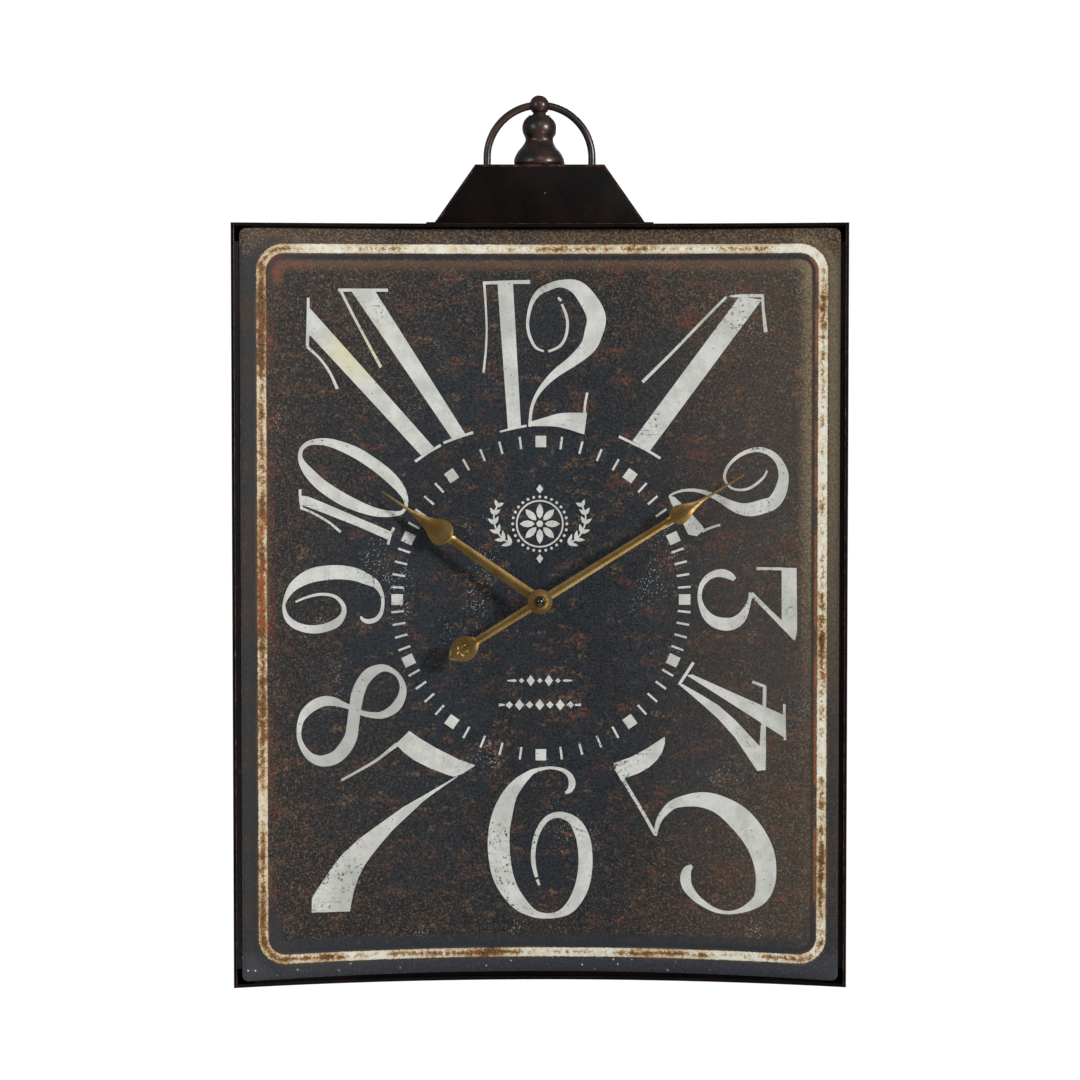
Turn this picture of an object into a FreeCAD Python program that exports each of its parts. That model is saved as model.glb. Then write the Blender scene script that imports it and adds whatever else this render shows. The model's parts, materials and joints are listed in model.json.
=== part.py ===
"""A wall clock in a shallow sheet-steel case with a dial that is curved like a trough.

A trapezoid shoulder stands on the case and carries a turned crown and a round bow, as on a pocket
watch. Behind the dial hangs a battery movement, whose wheels turn the two spade hands. Everything
is in millimetres. Sizes live in the spreadsheet, and each sub-part is an object of the document.

Local directions: x to the right, y up and z off the wall, towards the person who reads the clock.
Each sub-part's Placement then stands it up, so that the document has +Z up and the dial faces -Y.
The origin is the centre of the keyhole in the hanger plate, in the plane of the wall.
"""

import FreeCAD
import Part
import Sketcher
import math
import os
import re
from FreeCAD import Placement, Rotation, Vector

SIZES = {
    # case
    "case_width": 558, "case_height": 696, "case_depth": 92, "rim_sag": 38,
    "sheet_metal": 1.5, "hem_width": 3, "flange_width": 18, "flange_inset": 2,
    "screw_hole": 1.55, "side_screw_pitch": 155, "end_screw_half_pitch": 130,
    # hanger, keyhole and back
    "hanger_drop": 30, "hanger_width": 50, "hanger_below": 14, "hanger_above": 26,
    "keyhole_radius": 4.5, "keyhole_slot": 2.2, "keyhole_rise": 9,
    "rivet_hole": 1.6, "rivet_half_pitch": 18, "rivet_rise": 20,
    "back_gap": 0.2, "window_half_width": 41, "window_below": 48, "window_above": 32,
    # dial
    "dial_width": 543, "dial_height": 686, "dial_sag": 48, "dial_back": 39, "dial_sheet": 1,
    "dial_corner": 6, "dial_hole": 4.2, "ledge_sheet": 1.2, "ledge_width": 15, "ledge_depth": 12,
    "stud_hole": 1.7, "stud_inset": 12.5, "side_stud_pitch": 230, "end_stud_pitch": 150,
    # shoulder
    "shoulder_foot": 194, "shoulder_top": 118, "shoulder_height": 54, "shoulder_depth": 50,
    "shoulder_lip": 7,
    # crown and bow
    "crown_out": 27, "crown_bore": 3.05, "stud_radius": 3, "ball_radius": 9.3, "ball_height": 55.4,
    "neck_foot": 7.4, "neck_top": 5.6, "neck_height": 3.6, "neck_up": 46,
    "bow_radius": 48.2, "bow_wire": 3.55, "bow_leg": 10,
    # hands
    "hand_sheet": 1, "hour_hand_out": 66.5, "minute_hand_out": 74, "hour_hub": 8.5,
    "minute_hub": 11, "hub_height": 2.2, "minute_angle": 58,
    # movement, whose shaft stands a little above the middle of the dial
    "shaft_rise": 3.5,
    "movement_half": 28, "movement_below": 36, "movement_above": 20, "movement_back": 22,
    "movement_front": 38, "movement_wall": 1.2, "bush_radius": 4, "bush_bore": 2.6, "bush_end": 46,
    "pipe_radius": 2.5, "pipe_bore": 1.75, "shaft_radius": 1.65, "shaft_end": 73.4,
    "thread_radius": 1.3, "running_gap": 0.05, "wheel_sheet": 0.8, "arbor_radius": 0.5,
    "pivot_radius": 0.3, "motion_module": 0.25, "hour_module": 0.24, "train_module": 0.2,
    "backlash": 0.05, "battery_radius": 7.2, "battery_length": 50.5, "battery_up": -27,
}

doc = FreeCAD.newDocument("wall_clock")
sheet = doc.addObject("Spreadsheet::Sheet", "sizes")
for row, (alias, number) in enumerate(SIZES.items(), 1):
    sheet.set(f"A{row}", alias)
    sheet.set(f"B{row}", str(number))
    sheet.setAlias(f"B{row}", alias)
doc.recompute()


# ---------------------------------------------------------------- words shared by all sub-parts

def ex(text):
    """A formula written with size names, as an expression bound to the spreadsheet's cells."""
    def bind(word):
        name = word.group()
        return f"sizes.{name}" if name in SIZES else name
    return re.sub(r"[a-z]\w*", bind, str(text))


def num(text):
    """The number that such a formula stands for now."""
    return float(sheet.evalExpression(ex(text)))


UPRIGHT = Rotation(Vector(1, 0, 0), 90)
CASE_MIDDLE = "hanger_drop - case_height/2"
SHAFT_UP = "hanger_drop - case_height/2 + shaft_rise"
CASE_TOP = "hanger_drop"
CASE_FOOT = "hanger_drop - case_height"
HALF_WIDTH = "case_width/2"
DIAL_RADIUS = "((dial_width/2)^2 + dial_sag^2)/(2*dial_sag)"
RIM_RADIUS = "((case_width/2)^2 + rim_sag^2)/(2*rim_sag)"
DIAL_AXIS_OUT = f"dial_back + dial_sheet + {DIAL_RADIUS}"
RIM_AXIS_OUT = f"case_depth - rim_sag + {RIM_RADIUS}"

PARTS = []


def finish(piece, label, up="0"):
    """Names a sub-part and stands it up, with its local origin at height up above the keyhole."""
    piece.Label = label
    piece.Placement = Placement(Vector(0, 0, num(up)), UPRIGHT).multiply(piece.Placement)
    PARTS.append(piece)
    return piece


def box(name, low, high):
    """Part::Box between two corners given as formulas."""
    made = doc.addObject("Part::Box", name)
    for side, axis, lo, hi in zip(("Length", "Width", "Height"), "xyz", low, high):
        made.setExpression(side, ex(f"({hi}) - ({lo})"))
        made.setExpression(f"Placement.Base.{axis}", ex(lo))
    return made


ALONG = {
    "z": Rotation(),
    "y": Rotation(Vector(1, 0, 0), -90),
    "x": Rotation(Vector(0, 1, 0), 90),
}


def rod(name, radius, foot, length, along="z"):
    """Part::Cylinder of that radius and length, whose foot is at a point given as formulas."""
    made = doc.addObject("Part::Cylinder", name)
    made.Placement = Placement(Vector(), ALONG[along])
    made.setExpression("Radius", ex(radius))
    made.setExpression("Height", ex(length))
    for axis, place in zip("xyz", foot):
        made.setExpression(f"Placement.Base.{axis}", ex(place))
    return made


def fuse(name, *shapes):
    made = doc.addObject("Part::MultiFuse", name)
    made.Shapes = list(shapes)
    return made


def cut(name, base, *tools):
    made = doc.addObject("Part::Cut", name)
    made.Base = base
    made.Tool = tools[0] if len(tools) == 1 else fuse(name + "_tools", *tools)
    return made


def common(name, *shapes):
    made = doc.addObject("Part::MultiCommon", name)
    made.Shapes = list(shapes)
    return made


def solid(name, shape):
    """Part::Feature for a shape that Part's own functions made."""
    made = doc.addObject("Part::Feature", name)
    made.Shape = shape
    return made


def body(name):
    return doc.addObject("PartDesign::Body", name)


def sketch(owner, role, name, offset="0"):
    """An empty sketch on one of its body's own origin planes, moved along the plane's normal."""
    made = owner.newObject("Sketcher::SketchObject", name)
    plane = [f for f in owner.Origin.OriginFeatures if f.Role == role][0]
    made.AttachmentSupport = [(plane, "")]
    made.MapMode = "FlatFace"
    made.setExpression("AttachmentOffset.Base.z", ex(offset))
    return made


def pin_point(drawing, geometry, point, place):
    """Fixes a point of the sketch at (x, y) from its origin, by the spreadsheet."""
    for kind, formula in zip(("DistanceX", "DistanceY"), place):
        rule = Sketcher.Constraint(kind, -1, 1, geometry, point, num(formula))
        drawing.setExpression(f"Constraints[{drawing.addConstraint(rule)}]", ex(formula))


def trace(drawing, corners):
    """Closed outline. A corner is (x, y), or (x, y, r) where an arc of radius r runs to the next.

    A positive arc bulges to the right of the way along the outline and a negative one to the left.
    """
    count = len(corners)
    places = [Vector(num(c[0]), num(c[1]), 0) for c in corners]
    ends = []
    for i, corner in enumerate(corners):
        a, b = places[i], places[(i + 1) % count]
        if len(corner) == 2:
            ends.append((drawing.addGeometry(Part.LineSegment(a, b), False), 1, 2))
            continue
        bulge = math.copysign(1, num(corner[2]))
        radius = abs(num(corner[2]))
        left = Vector(a.y - b.y, b.x - a.x, 0).normalize()
        reach = math.sqrt(radius ** 2 - (b - a).Length ** 2 / 4)
        centre = (a + b) / 2 + left * bulge * reach
        first, last = (a, b) if bulge > 0 else (b, a)
        angles = [math.atan2(p.y - centre.y, p.x - centre.x) for p in (first, last)]
        if angles[1] < angles[0]:
            angles[1] += 2 * math.pi
        circle = Part.Circle(centre, Vector(0, 0, 1), radius)
        arc = drawing.addGeometry(Part.ArcOfCircle(circle, *angles), False)
        ends.append((arc, 1, 2) if bulge > 0 else (arc, 2, 1))
    for i, (geometry, start, end) in enumerate(ends):
        following, first, _ = ends[(i + 1) % count]
        drawing.addConstraint(Sketcher.Constraint("Coincident", geometry, end, following, first))
        pin_point(drawing, geometry, start, corners[i][:2])
        if len(corners[i]) == 3:
            rule = Sketcher.Constraint("Radius", geometry, abs(num(corners[i][2])))
            drawing.setExpression(
                f"Constraints[{drawing.addConstraint(rule)}]", ex(f"abs({corners[i][2]})"))
    return drawing


def circle(drawing, x, y, radius):
    centre = Vector(num(x), num(y), 0)
    ring = drawing.addGeometry(Part.Circle(centre, Vector(0, 0, 1), num(radius)), False)
    pin_point(drawing, ring, 3, (x, y))
    rule = Sketcher.Constraint("Radius", ring, num(radius))
    drawing.setExpression(f"Constraints[{drawing.addConstraint(rule)}]", ex(radius))
    return drawing


def rectangle(drawing, x0, y0, x1, y1):
    return trace(drawing, [(x0, y0), (x1, y0), (x1, y1), (x0, y1)])


def pad(owner, profile, length, name, back=False):
    made = owner.newObject("PartDesign::Pad", name)
    made.Profile = (profile, [""])
    made.setExpression("Length", ex(length))
    made.Reversed = back
    owner.Tip = made
    return made


def pocket(owner, profile, name):
    """Cuts a profile right through, both ways."""
    made = owner.newObject("PartDesign::Pocket", name)
    made.Profile = (profile, [""])
    made.Type = "ThroughAll"
    made.Midplane = True
    owner.Tip = made
    return made


def rect_plate(name, x0, y0, x1, y1, z0, thickness):
    """A PartDesign body: a rectangle in the plane of the wall, padded off it."""
    plate = body(name)
    pad(plate, rectangle(sketch(plate, "XY_Plane", name + "_outline", z0), x0, y0, x1, y1),
        thickness, name + "_pad")
    return plate


def hexagon(across, thickness, bore):
    """Hexagonal nut standing on z = 0, with its hole."""
    corner = across / math.sqrt(3)
    points = [Vector(corner * math.cos(math.pi * k / 3), corner * math.sin(math.pi * k / 3), 0)
              for k in range(6)]
    blank = Part.Face(Part.makePolygon(points + points[:1])).extrude(Vector(0, 0, thickness))
    return blank.cut(Part.makeCylinder(bore, thickness))


def screw(head_radius, head_depth, shank_radius, length):
    """Countersunk screw with a cross recess: the head's face is at z = 0 and the point at z > 0."""
    head = Part.makeCone(head_radius, shank_radius, head_depth)
    shank = Part.makeCylinder(shank_radius, length - 0.6)
    point = Part.makeCone(shank_radius, shank_radius - 0.5, 0.6, Vector(0, 0, length - 0.6))
    slot = head_radius * 1.1
    cross = [Part.makeBox(slot, 0.6, 0.7, Vector(-slot / 2, -0.3, 0)),
             Part.makeBox(0.6, slot, 0.7, Vector(-0.3, -slot / 2, 0))]
    return head.fuse([shank, point]).cut(cross)


def copies(shape, placements):
    """One compound of separate solids, for identical fasteners that share a node."""
    made = []
    for place in placements:
        item = shape.copy()
        item.Placement = place
        made.append(item)
    return Part.Compound(made)


# ---------------------------------------------------------------- case

def rail(label, side):
    """Top (side = 1) or bottom (side = -1) of the case: a sheet whose front edge is an arc.

    The front edge is folded into a narrow hem, and the back edge into a flange for the cover.
    """
    edge = CASE_TOP if side > 0 else CASE_FOOT
    made = body(label)
    hem_half = f"({HALF_WIDTH} - hem_width)"
    flange_half = f"({HALF_WIDTH} - sheet_metal - flange_width)"

    def rim_out(x, inside="0"):
        return f"{RIM_AXIS_OUT} - sqrt(({RIM_RADIUS} + ({inside}))^2 - ({x})^2)"

    # an origin plane of XZ looks towards -y, so offsets and pads carry the opposite sign
    offset = f"-({edge})"
    outline = trace(sketch(made, "XZ_Plane", label + "_outline", offset), [
        (f"-{HALF_WIDTH}", "0"),
        (HALF_WIDTH, "0"),
        (HALF_WIDTH, "case_depth", f"-({RIM_RADIUS})"),
        (f"-{HALF_WIDTH}", "case_depth"),
    ])
    pad(made, outline, "sheet_metal", label + "_web", back=side < 0)
    inner = f"({RIM_RADIUS} + sheet_metal)"
    hem = trace(sketch(made, "XZ_Plane", label + "_hem", offset), [
        (f"-{hem_half}", rim_out(hem_half, "sheet_metal"), f"({inner})"),
        (hem_half, rim_out(hem_half, "sheet_metal")),
        (hem_half, rim_out(hem_half), f"-({RIM_RADIUS})"),
        (f"-{hem_half}", rim_out(hem_half)),
    ])
    # the hem follows the same arc, so its inner line bulges off the dial and not towards it
    pad(made, hem, "hem_width", label + "_hem_pad", back=side < 0)
    flange = sketch(made, "XZ_Plane", label + "_flange", offset)
    rectangle(flange, f"-{flange_half}", "flange_inset", flange_half, "flange_inset + sheet_metal")
    pad(made, flange, "sheet_metal + flange_width", label + "_flange_pad", back=side < 0)
    if side > 0:
        notch = sketch(made, "XY_Plane", label + "_notch")
        reach = "hanger_drop - sheet_metal - flange_width"
        rectangle(notch, "-7", f"{reach} - 1", "7", f"{reach} + 6")
        pocket(made, notch, label + "_notch_cut")
        for n, x in enumerate(("-rivet_half_pitch", "rivet_half_pitch")):
            drawing = sketch(made, "XY_Plane", f"{label}_rivet_{n}")
            hole = circle(drawing, x, "rivet_rise", "rivet_hole")
            pocket(made, hole, f"{label}_rivet_cut_{n}")
    return finish(made, label)


def stile(label, side):
    """Left (side = -1) or right (side = 1) wall: one folded sheet with a hem and a back flange."""
    made = body(label)

    def x(inward):
        return f"{side}*({HALF_WIDTH} - ({inward}))"

    # the foot of the profile is on the bottom rail, and the pad rises to the top rail
    drawing = sketch(made, "XZ_Plane", label + "_profile", f"-({CASE_FOOT} + sheet_metal)")
    trace(drawing, [
        (x("0"), "0"),
        (x("sheet_metal"), "0"),
        (x("sheet_metal"), "flange_inset"),
        (x("sheet_metal + flange_width"), "flange_inset"),
        (x("sheet_metal + flange_width"), "flange_inset + sheet_metal"),
        (x("sheet_metal"), "flange_inset + sheet_metal"),
        (x("sheet_metal"), "case_depth - sheet_metal"),
        (x("hem_width"), "case_depth - sheet_metal"),
        (x("hem_width"), "case_depth"),
        (x("0"), "case_depth"),
    ])
    pad(made, drawing, "case_height - 2*sheet_metal", label + "_pad", back=True)
    return finish(made, label)


def curved_strip(name, inner, outer, low, high):
    """A stretch of the shell between two radii about the dial's upright axis, inside a box."""
    wide = rod(name + "_outer", f"{DIAL_RADIUS} + {outer}", ("0", low[1], DIAL_AXIS_OUT),
               f"({high[1]}) - ({low[1]})", "y")
    narrow = rod(name + "_inner", f"{DIAL_RADIUS} + {inner}", ("0", f"{low[1]} - 1", DIAL_AXIS_OUT),
                 f"({high[1]}) - ({low[1]}) + 2", "y")
    return common(name, cut(name + "_shell", wide, narrow), box(name + "_span", low, high))


def bent_ledge(label, side):
    """Angle strip across the case that the dial's top or bottom edge lies on."""
    edge = CASE_TOP if side > 0 else CASE_FOOT
    wall = f"({edge}) - ({side})*(sheet_metal + 0.1)"
    reach = f"({edge}) - ({side})*(sheet_metal + ledge_width)"
    web = f"({edge}) - ({side})*(sheet_metal + 0.1 + ledge_sheet)"
    half = "dial_width/2 - ledge_width + 4"
    leg_low, leg_high = (reach, wall) if side > 0 else (wall, reach)
    web_low, web_high = (web, wall) if side > 0 else (wall, web)
    front = "dial_sheet + 0.05"
    leg = curved_strip(label + "_leg", front, f"{front} + ledge_sheet",
                       (f"-({half})", leg_low, "10"), (half, leg_high, "case_depth"))
    foot = curved_strip(label + "_foot", front, f"{front} + ledge_depth",
                        (f"-({half})", web_low, "10"), (half, web_high, "case_depth"))
    return finish(fuse(label, leg, foot), label)


def side_ledge(label, side):
    """Angle strip up the case that the dial's left or right edge lies on."""
    wall = f"({side})*({HALF_WIDTH} - sheet_metal - 0.1)"
    reach = f"({side})*({HALF_WIDTH} - sheet_metal - ledge_width)"
    web = f"({side})*({HALF_WIDTH} - sheet_metal - 0.1 - ledge_sheet)"
    low_y = f"{CASE_FOOT} + sheet_metal + ledge_width + 0.5"
    high_y = f"{CASE_TOP} - sheet_metal - ledge_width - 0.5"
    leg_x = (reach, wall) if side > 0 else (wall, reach)
    web_x = (web, wall) if side > 0 else (wall, web)
    front = "dial_sheet + 0.05"
    leg = curved_strip(label + "_leg", front, f"{front} + ledge_sheet",
                       (leg_x[0], low_y, "10"), (leg_x[1], high_y, "case_depth"))
    foot = curved_strip(label + "_foot", front, f"{front} + ledge_depth",
                        (web_x[0], low_y, "10"), (web_x[1], high_y, "case_depth"))
    return finish(fuse(label, leg, foot), label)


def on_dial(x, y, lift=0.0):
    """Placement on the dial's back, z pointing away from the reader, square to the bent sheet."""
    radius = num(DIAL_RADIUS) + num("dial_sheet")
    out = num(DIAL_AXIS_OUT) - math.sqrt(radius ** 2 - x ** 2)
    normal = Vector(x, 0, out - num(DIAL_AXIS_OUT)).normalize()
    foot = Vector(x, y, out) + normal * lift
    return Placement(foot, Rotation(Vector(0, 0, 1), normal))


def stud_places():
    """Where the dial's studs stand: three along each ledge."""
    side_x = num(f"{HALF_WIDTH} - stud_inset")
    middle = num(CASE_MIDDLE)
    up, across = num("side_stud_pitch"), num("end_stud_pitch")
    places = [(s * side_x, middle + k * up) for s in (-1, 1) for k in (-1, 0, 1)]
    end_y = num("case_height/2 - sheet_metal - ledge_width/2 - 1.5")
    places += [(k * across, middle + s * end_y) for s in (-1, 1) for k in (-1, 0, 1)]
    return places


def drill_ledges(ledges):
    """Makes room in each ledge for the studs that pass it."""
    drill = Part.makeCylinder(num("stud_hole"), 6, Vector(0, 0, -1))
    drills = copies(drill, [on_dial(*p) for p in stud_places()])
    holes = solid("stud_holes", drills)
    drilled = []
    for ledge in ledges:
        PARTS.remove(ledge)
        label = ledge.Label
        ledge.Placement = Placement()
        ledge.Label = label + "_blank"
        drilled.append(finish(cut(label + "_drilled", ledge, holes), label))
    return drilled


def dial_panel():
    """The printed dial: a bent sheet with round corners and a hole for the movement's bush."""
    blank = body("dial_blank")
    half = "(dial_width/2)"
    low, high = f"({CASE_MIDDLE} - dial_height/2)", f"({CASE_MIDDLE} + dial_height/2)"
    r = "dial_corner"
    outline = trace(sketch(blank, "XY_Plane", "dial_outline", "30"), [
        (f"-{half} + {r}", low), (f"{half} - {r}", low, r),
        (half, f"{low} + {r}"), (half, f"{high} - {r}", r),
        (f"{half} - {r}", high), (f"-{half} + {r}", high, r),
        (f"-{half}", f"{high} - {r}"), (f"-{half}", f"{low} + {r}", r),
    ])
    pad(blank, outline, "case_depth - 30", "dial_pad")
    wide = rod("dial_outer", f"{DIAL_RADIUS} + dial_sheet", ("0", CASE_FOOT, DIAL_AXIS_OUT),
               "case_height", "y")
    narrow = rod("dial_inner", DIAL_RADIUS, ("0", CASE_FOOT, DIAL_AXIS_OUT), "case_height", "y")
    shell = common("dial_sheet_blank", cut("dial_shell", wide, narrow), blank)
    hole = rod("dial_shaft_hole", "dial_hole", ("0", SHAFT_UP, "30"), "20")
    return finish(cut("dial", shell, hole), "dial_panel")


def back_cover():
    """Flat hardboard cover, flush with the walls' back edges, with a window over the movement."""
    made = body("back")
    half = f"({HALF_WIDTH} - sheet_metal - back_gap)"
    top = f"({CASE_TOP} - sheet_metal - back_gap)"
    foot = f"({CASE_FOOT} + sheet_metal + back_gap)"
    notch_x = "(hanger_width/2 + back_gap)"
    notch_y = "(-hanger_below - back_gap)"
    outline = trace(sketch(made, "XY_Plane", "back_outline"), [
        (f"-{half}", foot), (half, foot), (half, top), (notch_x, top),
        (notch_x, notch_y), (f"-{notch_x}", notch_y), (f"-{notch_x}", top), (f"-{half}", top),
    ])
    pad(made, outline, "flange_inset", "back_pad")
    window = sketch(made, "XY_Plane", "back_window")
    rectangle(window, "-window_half_width", f"{SHAFT_UP} - window_below",
              "window_half_width", f"{SHAFT_UP} + window_above")
    pocket(made, window, "back_window_cut")
    places = [Placement(p, Rotation()) for p in cover_screws()]
    sinks = copies(Part.makeCone(2.95, num("screw_hole"), 1.7), places)
    holes = copies(Part.makeCylinder(num("screw_hole"), 4), places)
    return finish(cut("back_drilled", made, solid("back_sinks", sinks), solid("back_holes", holes)),
                  "back_cover")


def cover_screws():
    """Places of the cover's screws: five down each side flange and two on each rail's flange."""
    side_x = num(f"{HALF_WIDTH} - sheet_metal - flange_width/2")
    middle = num(CASE_MIDDLE)
    up, across = num("side_screw_pitch"), num("end_screw_half_pitch")
    places = [Vector(s * side_x, middle + k * up, 0) for s in (-1, 1) for k in (-2, -1, 0, 1, 2)]
    end_y = num("case_height/2 - sheet_metal - flange_width/2")
    places += [Vector(s * across, middle + t * end_y, 0) for s in (-1, 1) for t in (-1, 1)]
    return places


def drill_flanges(walls):
    """Threads' holes for the cover's screws in the flanges behind it."""
    drill = Part.makeCylinder(num("screw_hole"), 6)
    holes = solid("flange_holes", copies(drill, [Placement(p, Rotation()) for p in cover_screws()]))
    for wall in walls:
        PARTS.remove(wall)
        label = wall.Label
        wall.Placement = Placement()
        wall.Label = label + "_blank"
        finish(cut(label + "_drilled", wall, holes), label)


def hanger_plate():
    """Steel plate with a keyhole: the wall screw's head goes in the hole and rides up the slot."""
    made = rect_plate("hanger", "-hanger_width/2", "-hanger_below", "hanger_width/2",
                      "hanger_above", "0", "flange_inset")
    circle_cut = circle(sketch(made, "XY_Plane", "keyhole"), "0", "0", "keyhole_radius")
    pocket(made, circle_cut, "keyhole_cut")
    slot = sketch(made, "XY_Plane", "keyhole_slot_outline")
    trace(slot, [
        ("-keyhole_slot", "0"), ("keyhole_slot", "0"),
        ("keyhole_slot", "keyhole_rise", "keyhole_slot*1.0001"), ("-keyhole_slot", "keyhole_rise"),
    ])
    pocket(made, slot, "keyhole_slot_cut")
    for n, x in enumerate(("-rivet_half_pitch", "rivet_half_pitch")):
        drawing = sketch(made, "XY_Plane", f"hanger_rivet_{n}")
        hole = circle(drawing, x, "rivet_rise", "rivet_hole")
        pocket(made, hole, f"hanger_rivet_cut_{n}")
    return finish(made, "hanger_plate")


def rivet():
    """Flush rivet: a shank through plate and flange, with a low formed head inside."""
    shank = Part.makeCylinder(1.58, 4.2)
    head = Part.makeCylinder(3, 0.7, Vector(0, 0, 3.5)).fuse(
        Part.makeCone(3, 2, 0.7, Vector(0, 0, 4.2)))
    return shank.fuse(head).removeSplitter()


walls = [rail("top_rail", 1), rail("bottom_rail", -1), stile("left_wall", -1), stile("right_wall", 1)]
drill_flanges(walls)
dial_panel()
drill_ledges([
    bent_ledge("top_ledge", 1), bent_ledge("bottom_ledge", -1),
    side_ledge("left_ledge", -1), side_ledge("right_ledge", 1),
])
back_cover()
hanger_plate()
rivet_x, rivet_y = num("rivet_half_pitch"), num("rivet_rise")
rivet_places = [Placement(Vector(x, rivet_y, 0), Rotation()) for x in (-rivet_x, rivet_x)]
finish(solid("rivets", copies(rivet(), rivet_places)), "hanger_rivets")
finish(solid("cover_screw_set",
             copies(screw(2.9, 1.65, 1.5, 8), [Placement(p, Rotation()) for p in cover_screws()])),
       "cover_screws")
finish(solid("studs", copies(Part.makeCylinder(1.5, 7), [on_dial(*p) for p in stud_places()])),
       "dial_studs")
stud_nut = hexagon(5.5, 2.4, 1.55)
nut_lift = 0.05 + num("ledge_sheet") + 0.05
finish(solid("stud_nuts", copies(stud_nut, [on_dial(*p, nut_lift) for p in stud_places()])),
       "dial_nuts")


# ---------------------------------------------------------------- shoulder, crown and bow

SHOULDER_TOP = "hanger_drop + shoulder_height"
SLOPE = "(shoulder_height/sqrt(shoulder_height^2 + ((shoulder_foot - shoulder_top)/2)^2))"
RUN = "((shoulder_foot - shoulder_top)/2/shoulder_height)"


def shoulder_strap():
    """One strap of sheet folded up the left slope, over the top and down the right slope."""
    made = body("strap")
    foot, top = "shoulder_foot/2", "shoulder_top/2"
    side = f"(sheet_metal/{SLOPE})"
    low, high = CASE_TOP, SHOULDER_TOP
    lip = "(hanger_drop + sheet_metal)"
    inner_top = f"({top} - {side} + sheet_metal*{RUN})"
    right = [
        (f"{foot} + shoulder_lip", low), (f"{foot} + shoulder_lip", lip),
        (f"{foot} - sheet_metal*{RUN}", lip), (top, high),
    ]
    left = [(f"-({x})", y) for x, y in reversed(right)]
    inside = [
        (f"-({foot} - {side})", low),
        (f"-{inner_top}", f"{high} - sheet_metal"), (inner_top, f"{high} - sheet_metal"),
        (f"{foot} - {side}", low),
    ]
    outline = trace(sketch(made, "XY_Plane", "strap_outline", "flange_inset"),
                    right + left + inside)
    pad(made, outline, "shoulder_depth", "strap_pad")
    for name, x, radius in (("stud", "0", "crown_bore"), ("left_leg", "-bow_radius", "bow_wire + 0.05"),
                            ("right_leg", "bow_radius", "bow_wire + 0.05")):
        hole = circle(sketch(made, "XZ_Plane", f"strap_{name}", "-55"), x, "crown_out", radius)
        pocket(made, hole, f"strap_{name}_cut")
    return finish(made, "shoulder_strap")


def shoulder_face(label, out):
    """Flat trapezoid that closes the strap at the front or the back."""
    made = body(label + "_body")
    side = f"(sheet_metal/{SLOPE})"
    foot = f"(shoulder_foot/2 - {side} - 0.02)"
    top = f"(shoulder_top/2 - {side} + sheet_metal*{RUN} - 0.02)"
    high = f"({SHOULDER_TOP} - sheet_metal - 0.02)"
    outline = trace(sketch(made, "XY_Plane", label + "_outline", out),
                    [(f"-{foot}", CASE_TOP), (foot, CASE_TOP), (top, high), (f"-{top}", high)])
    pad(made, outline, "sheet_metal", label + "_pad")
    return finish(made, label)


def turned(profile):
    """Solid of revolution about the local y axis, from (radius, height) points in smooth runs."""
    edges = []
    for run in profile:
        points = [Vector(r, h, 0) for r, h in run]
        if len(points) == 2:
            edges.append(Part.LineSegment(*points).toShape())
        else:
            curve = Part.BSplineCurve()
            curve.interpolate(points)
            edges.append(curve.toShape())
    start, end = profile[0][0], profile[-1][-1]
    closing = [end, (0, end[1]), (0, start[1]), start]
    edges += [Part.LineSegment(Vector(*a, 0), Vector(*b, 0)).toShape()
              for a, b in zip(closing, closing[1:]) if a != b]
    return Part.Face(Part.Wire(edges)).revolve(Vector(), Vector(0, 1, 0), 360)


def crown_base():
    """Bell, waist and bulb, turned in one piece and bored for the stud."""
    bell = [(22.6, 0), (23.7, 4.2), (20.9, 11.8), (15.3, 18.6), (13.0, 23.6), (14.0, 27.0)]
    bulb = [(14.0, 27.0), (15.9, 32.2), (15.4, 38.8), (12.6, 43.4), (10.6, 45.0)]
    step = [(10.6, 45.0), (10.2, 46.0)]
    made = turned([bell, bulb, step])
    made = made.cut(Part.makeCylinder(num("crown_bore"), 50, Vector(), Vector(0, 1, 0)))
    made.translate(Vector(0, num(SHOULDER_TOP), num("crown_out")))
    return finish(solid("crown_turning", made), "crown_base")


def crown_ball():
    """Ball with a flared neck, bored from below for the stud and across for the bow."""
    centre = f"{SHOULDER_TOP} + ball_height"
    ball = doc.addObject("Part::Sphere", "ball")
    ball.setExpression("Radius", ex("ball_radius"))
    ball.setExpression("Placement.Base.y", ex(centre))
    ball.setExpression("Placement.Base.z", ex("crown_out"))
    neck = doc.addObject("Part::Cone", "ball_neck")
    neck.Placement = Placement(Vector(), ALONG["y"])
    neck.setExpression("Radius1", ex("neck_foot"))
    neck.setExpression("Radius2", ex("neck_top"))
    neck.setExpression("Height", ex("neck_height"))
    neck.setExpression("Placement.Base.y", ex(f"{SHOULDER_TOP} + neck_up"))
    neck.setExpression("Placement.Base.z", ex("crown_out"))
    bore = rod("ball_bore", "crown_bore", ("0", f"{SHOULDER_TOP} + 45", "crown_out"), "6.6", "y")
    channel = bow_arch("ball_channel", "bow_wire + 0.06")
    return finish(cut("ball_bored", fuse("ball_and_neck", ball, neck), bore, channel), "crown_ball")


def bow_arch(name, wire):
    """Half ring of round wire over the crown, open downwards."""
    made = doc.addObject("Part::Torus", name)
    made.Angle3 = 180
    made.setExpression("Radius1", ex("bow_radius"))
    made.setExpression("Radius2", ex(wire))
    made.setExpression("Placement.Base.y", ex(f"{SHOULDER_TOP} + ball_height - bow_radius"))
    made.setExpression("Placement.Base.z", ex("crown_out"))
    return made


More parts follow.
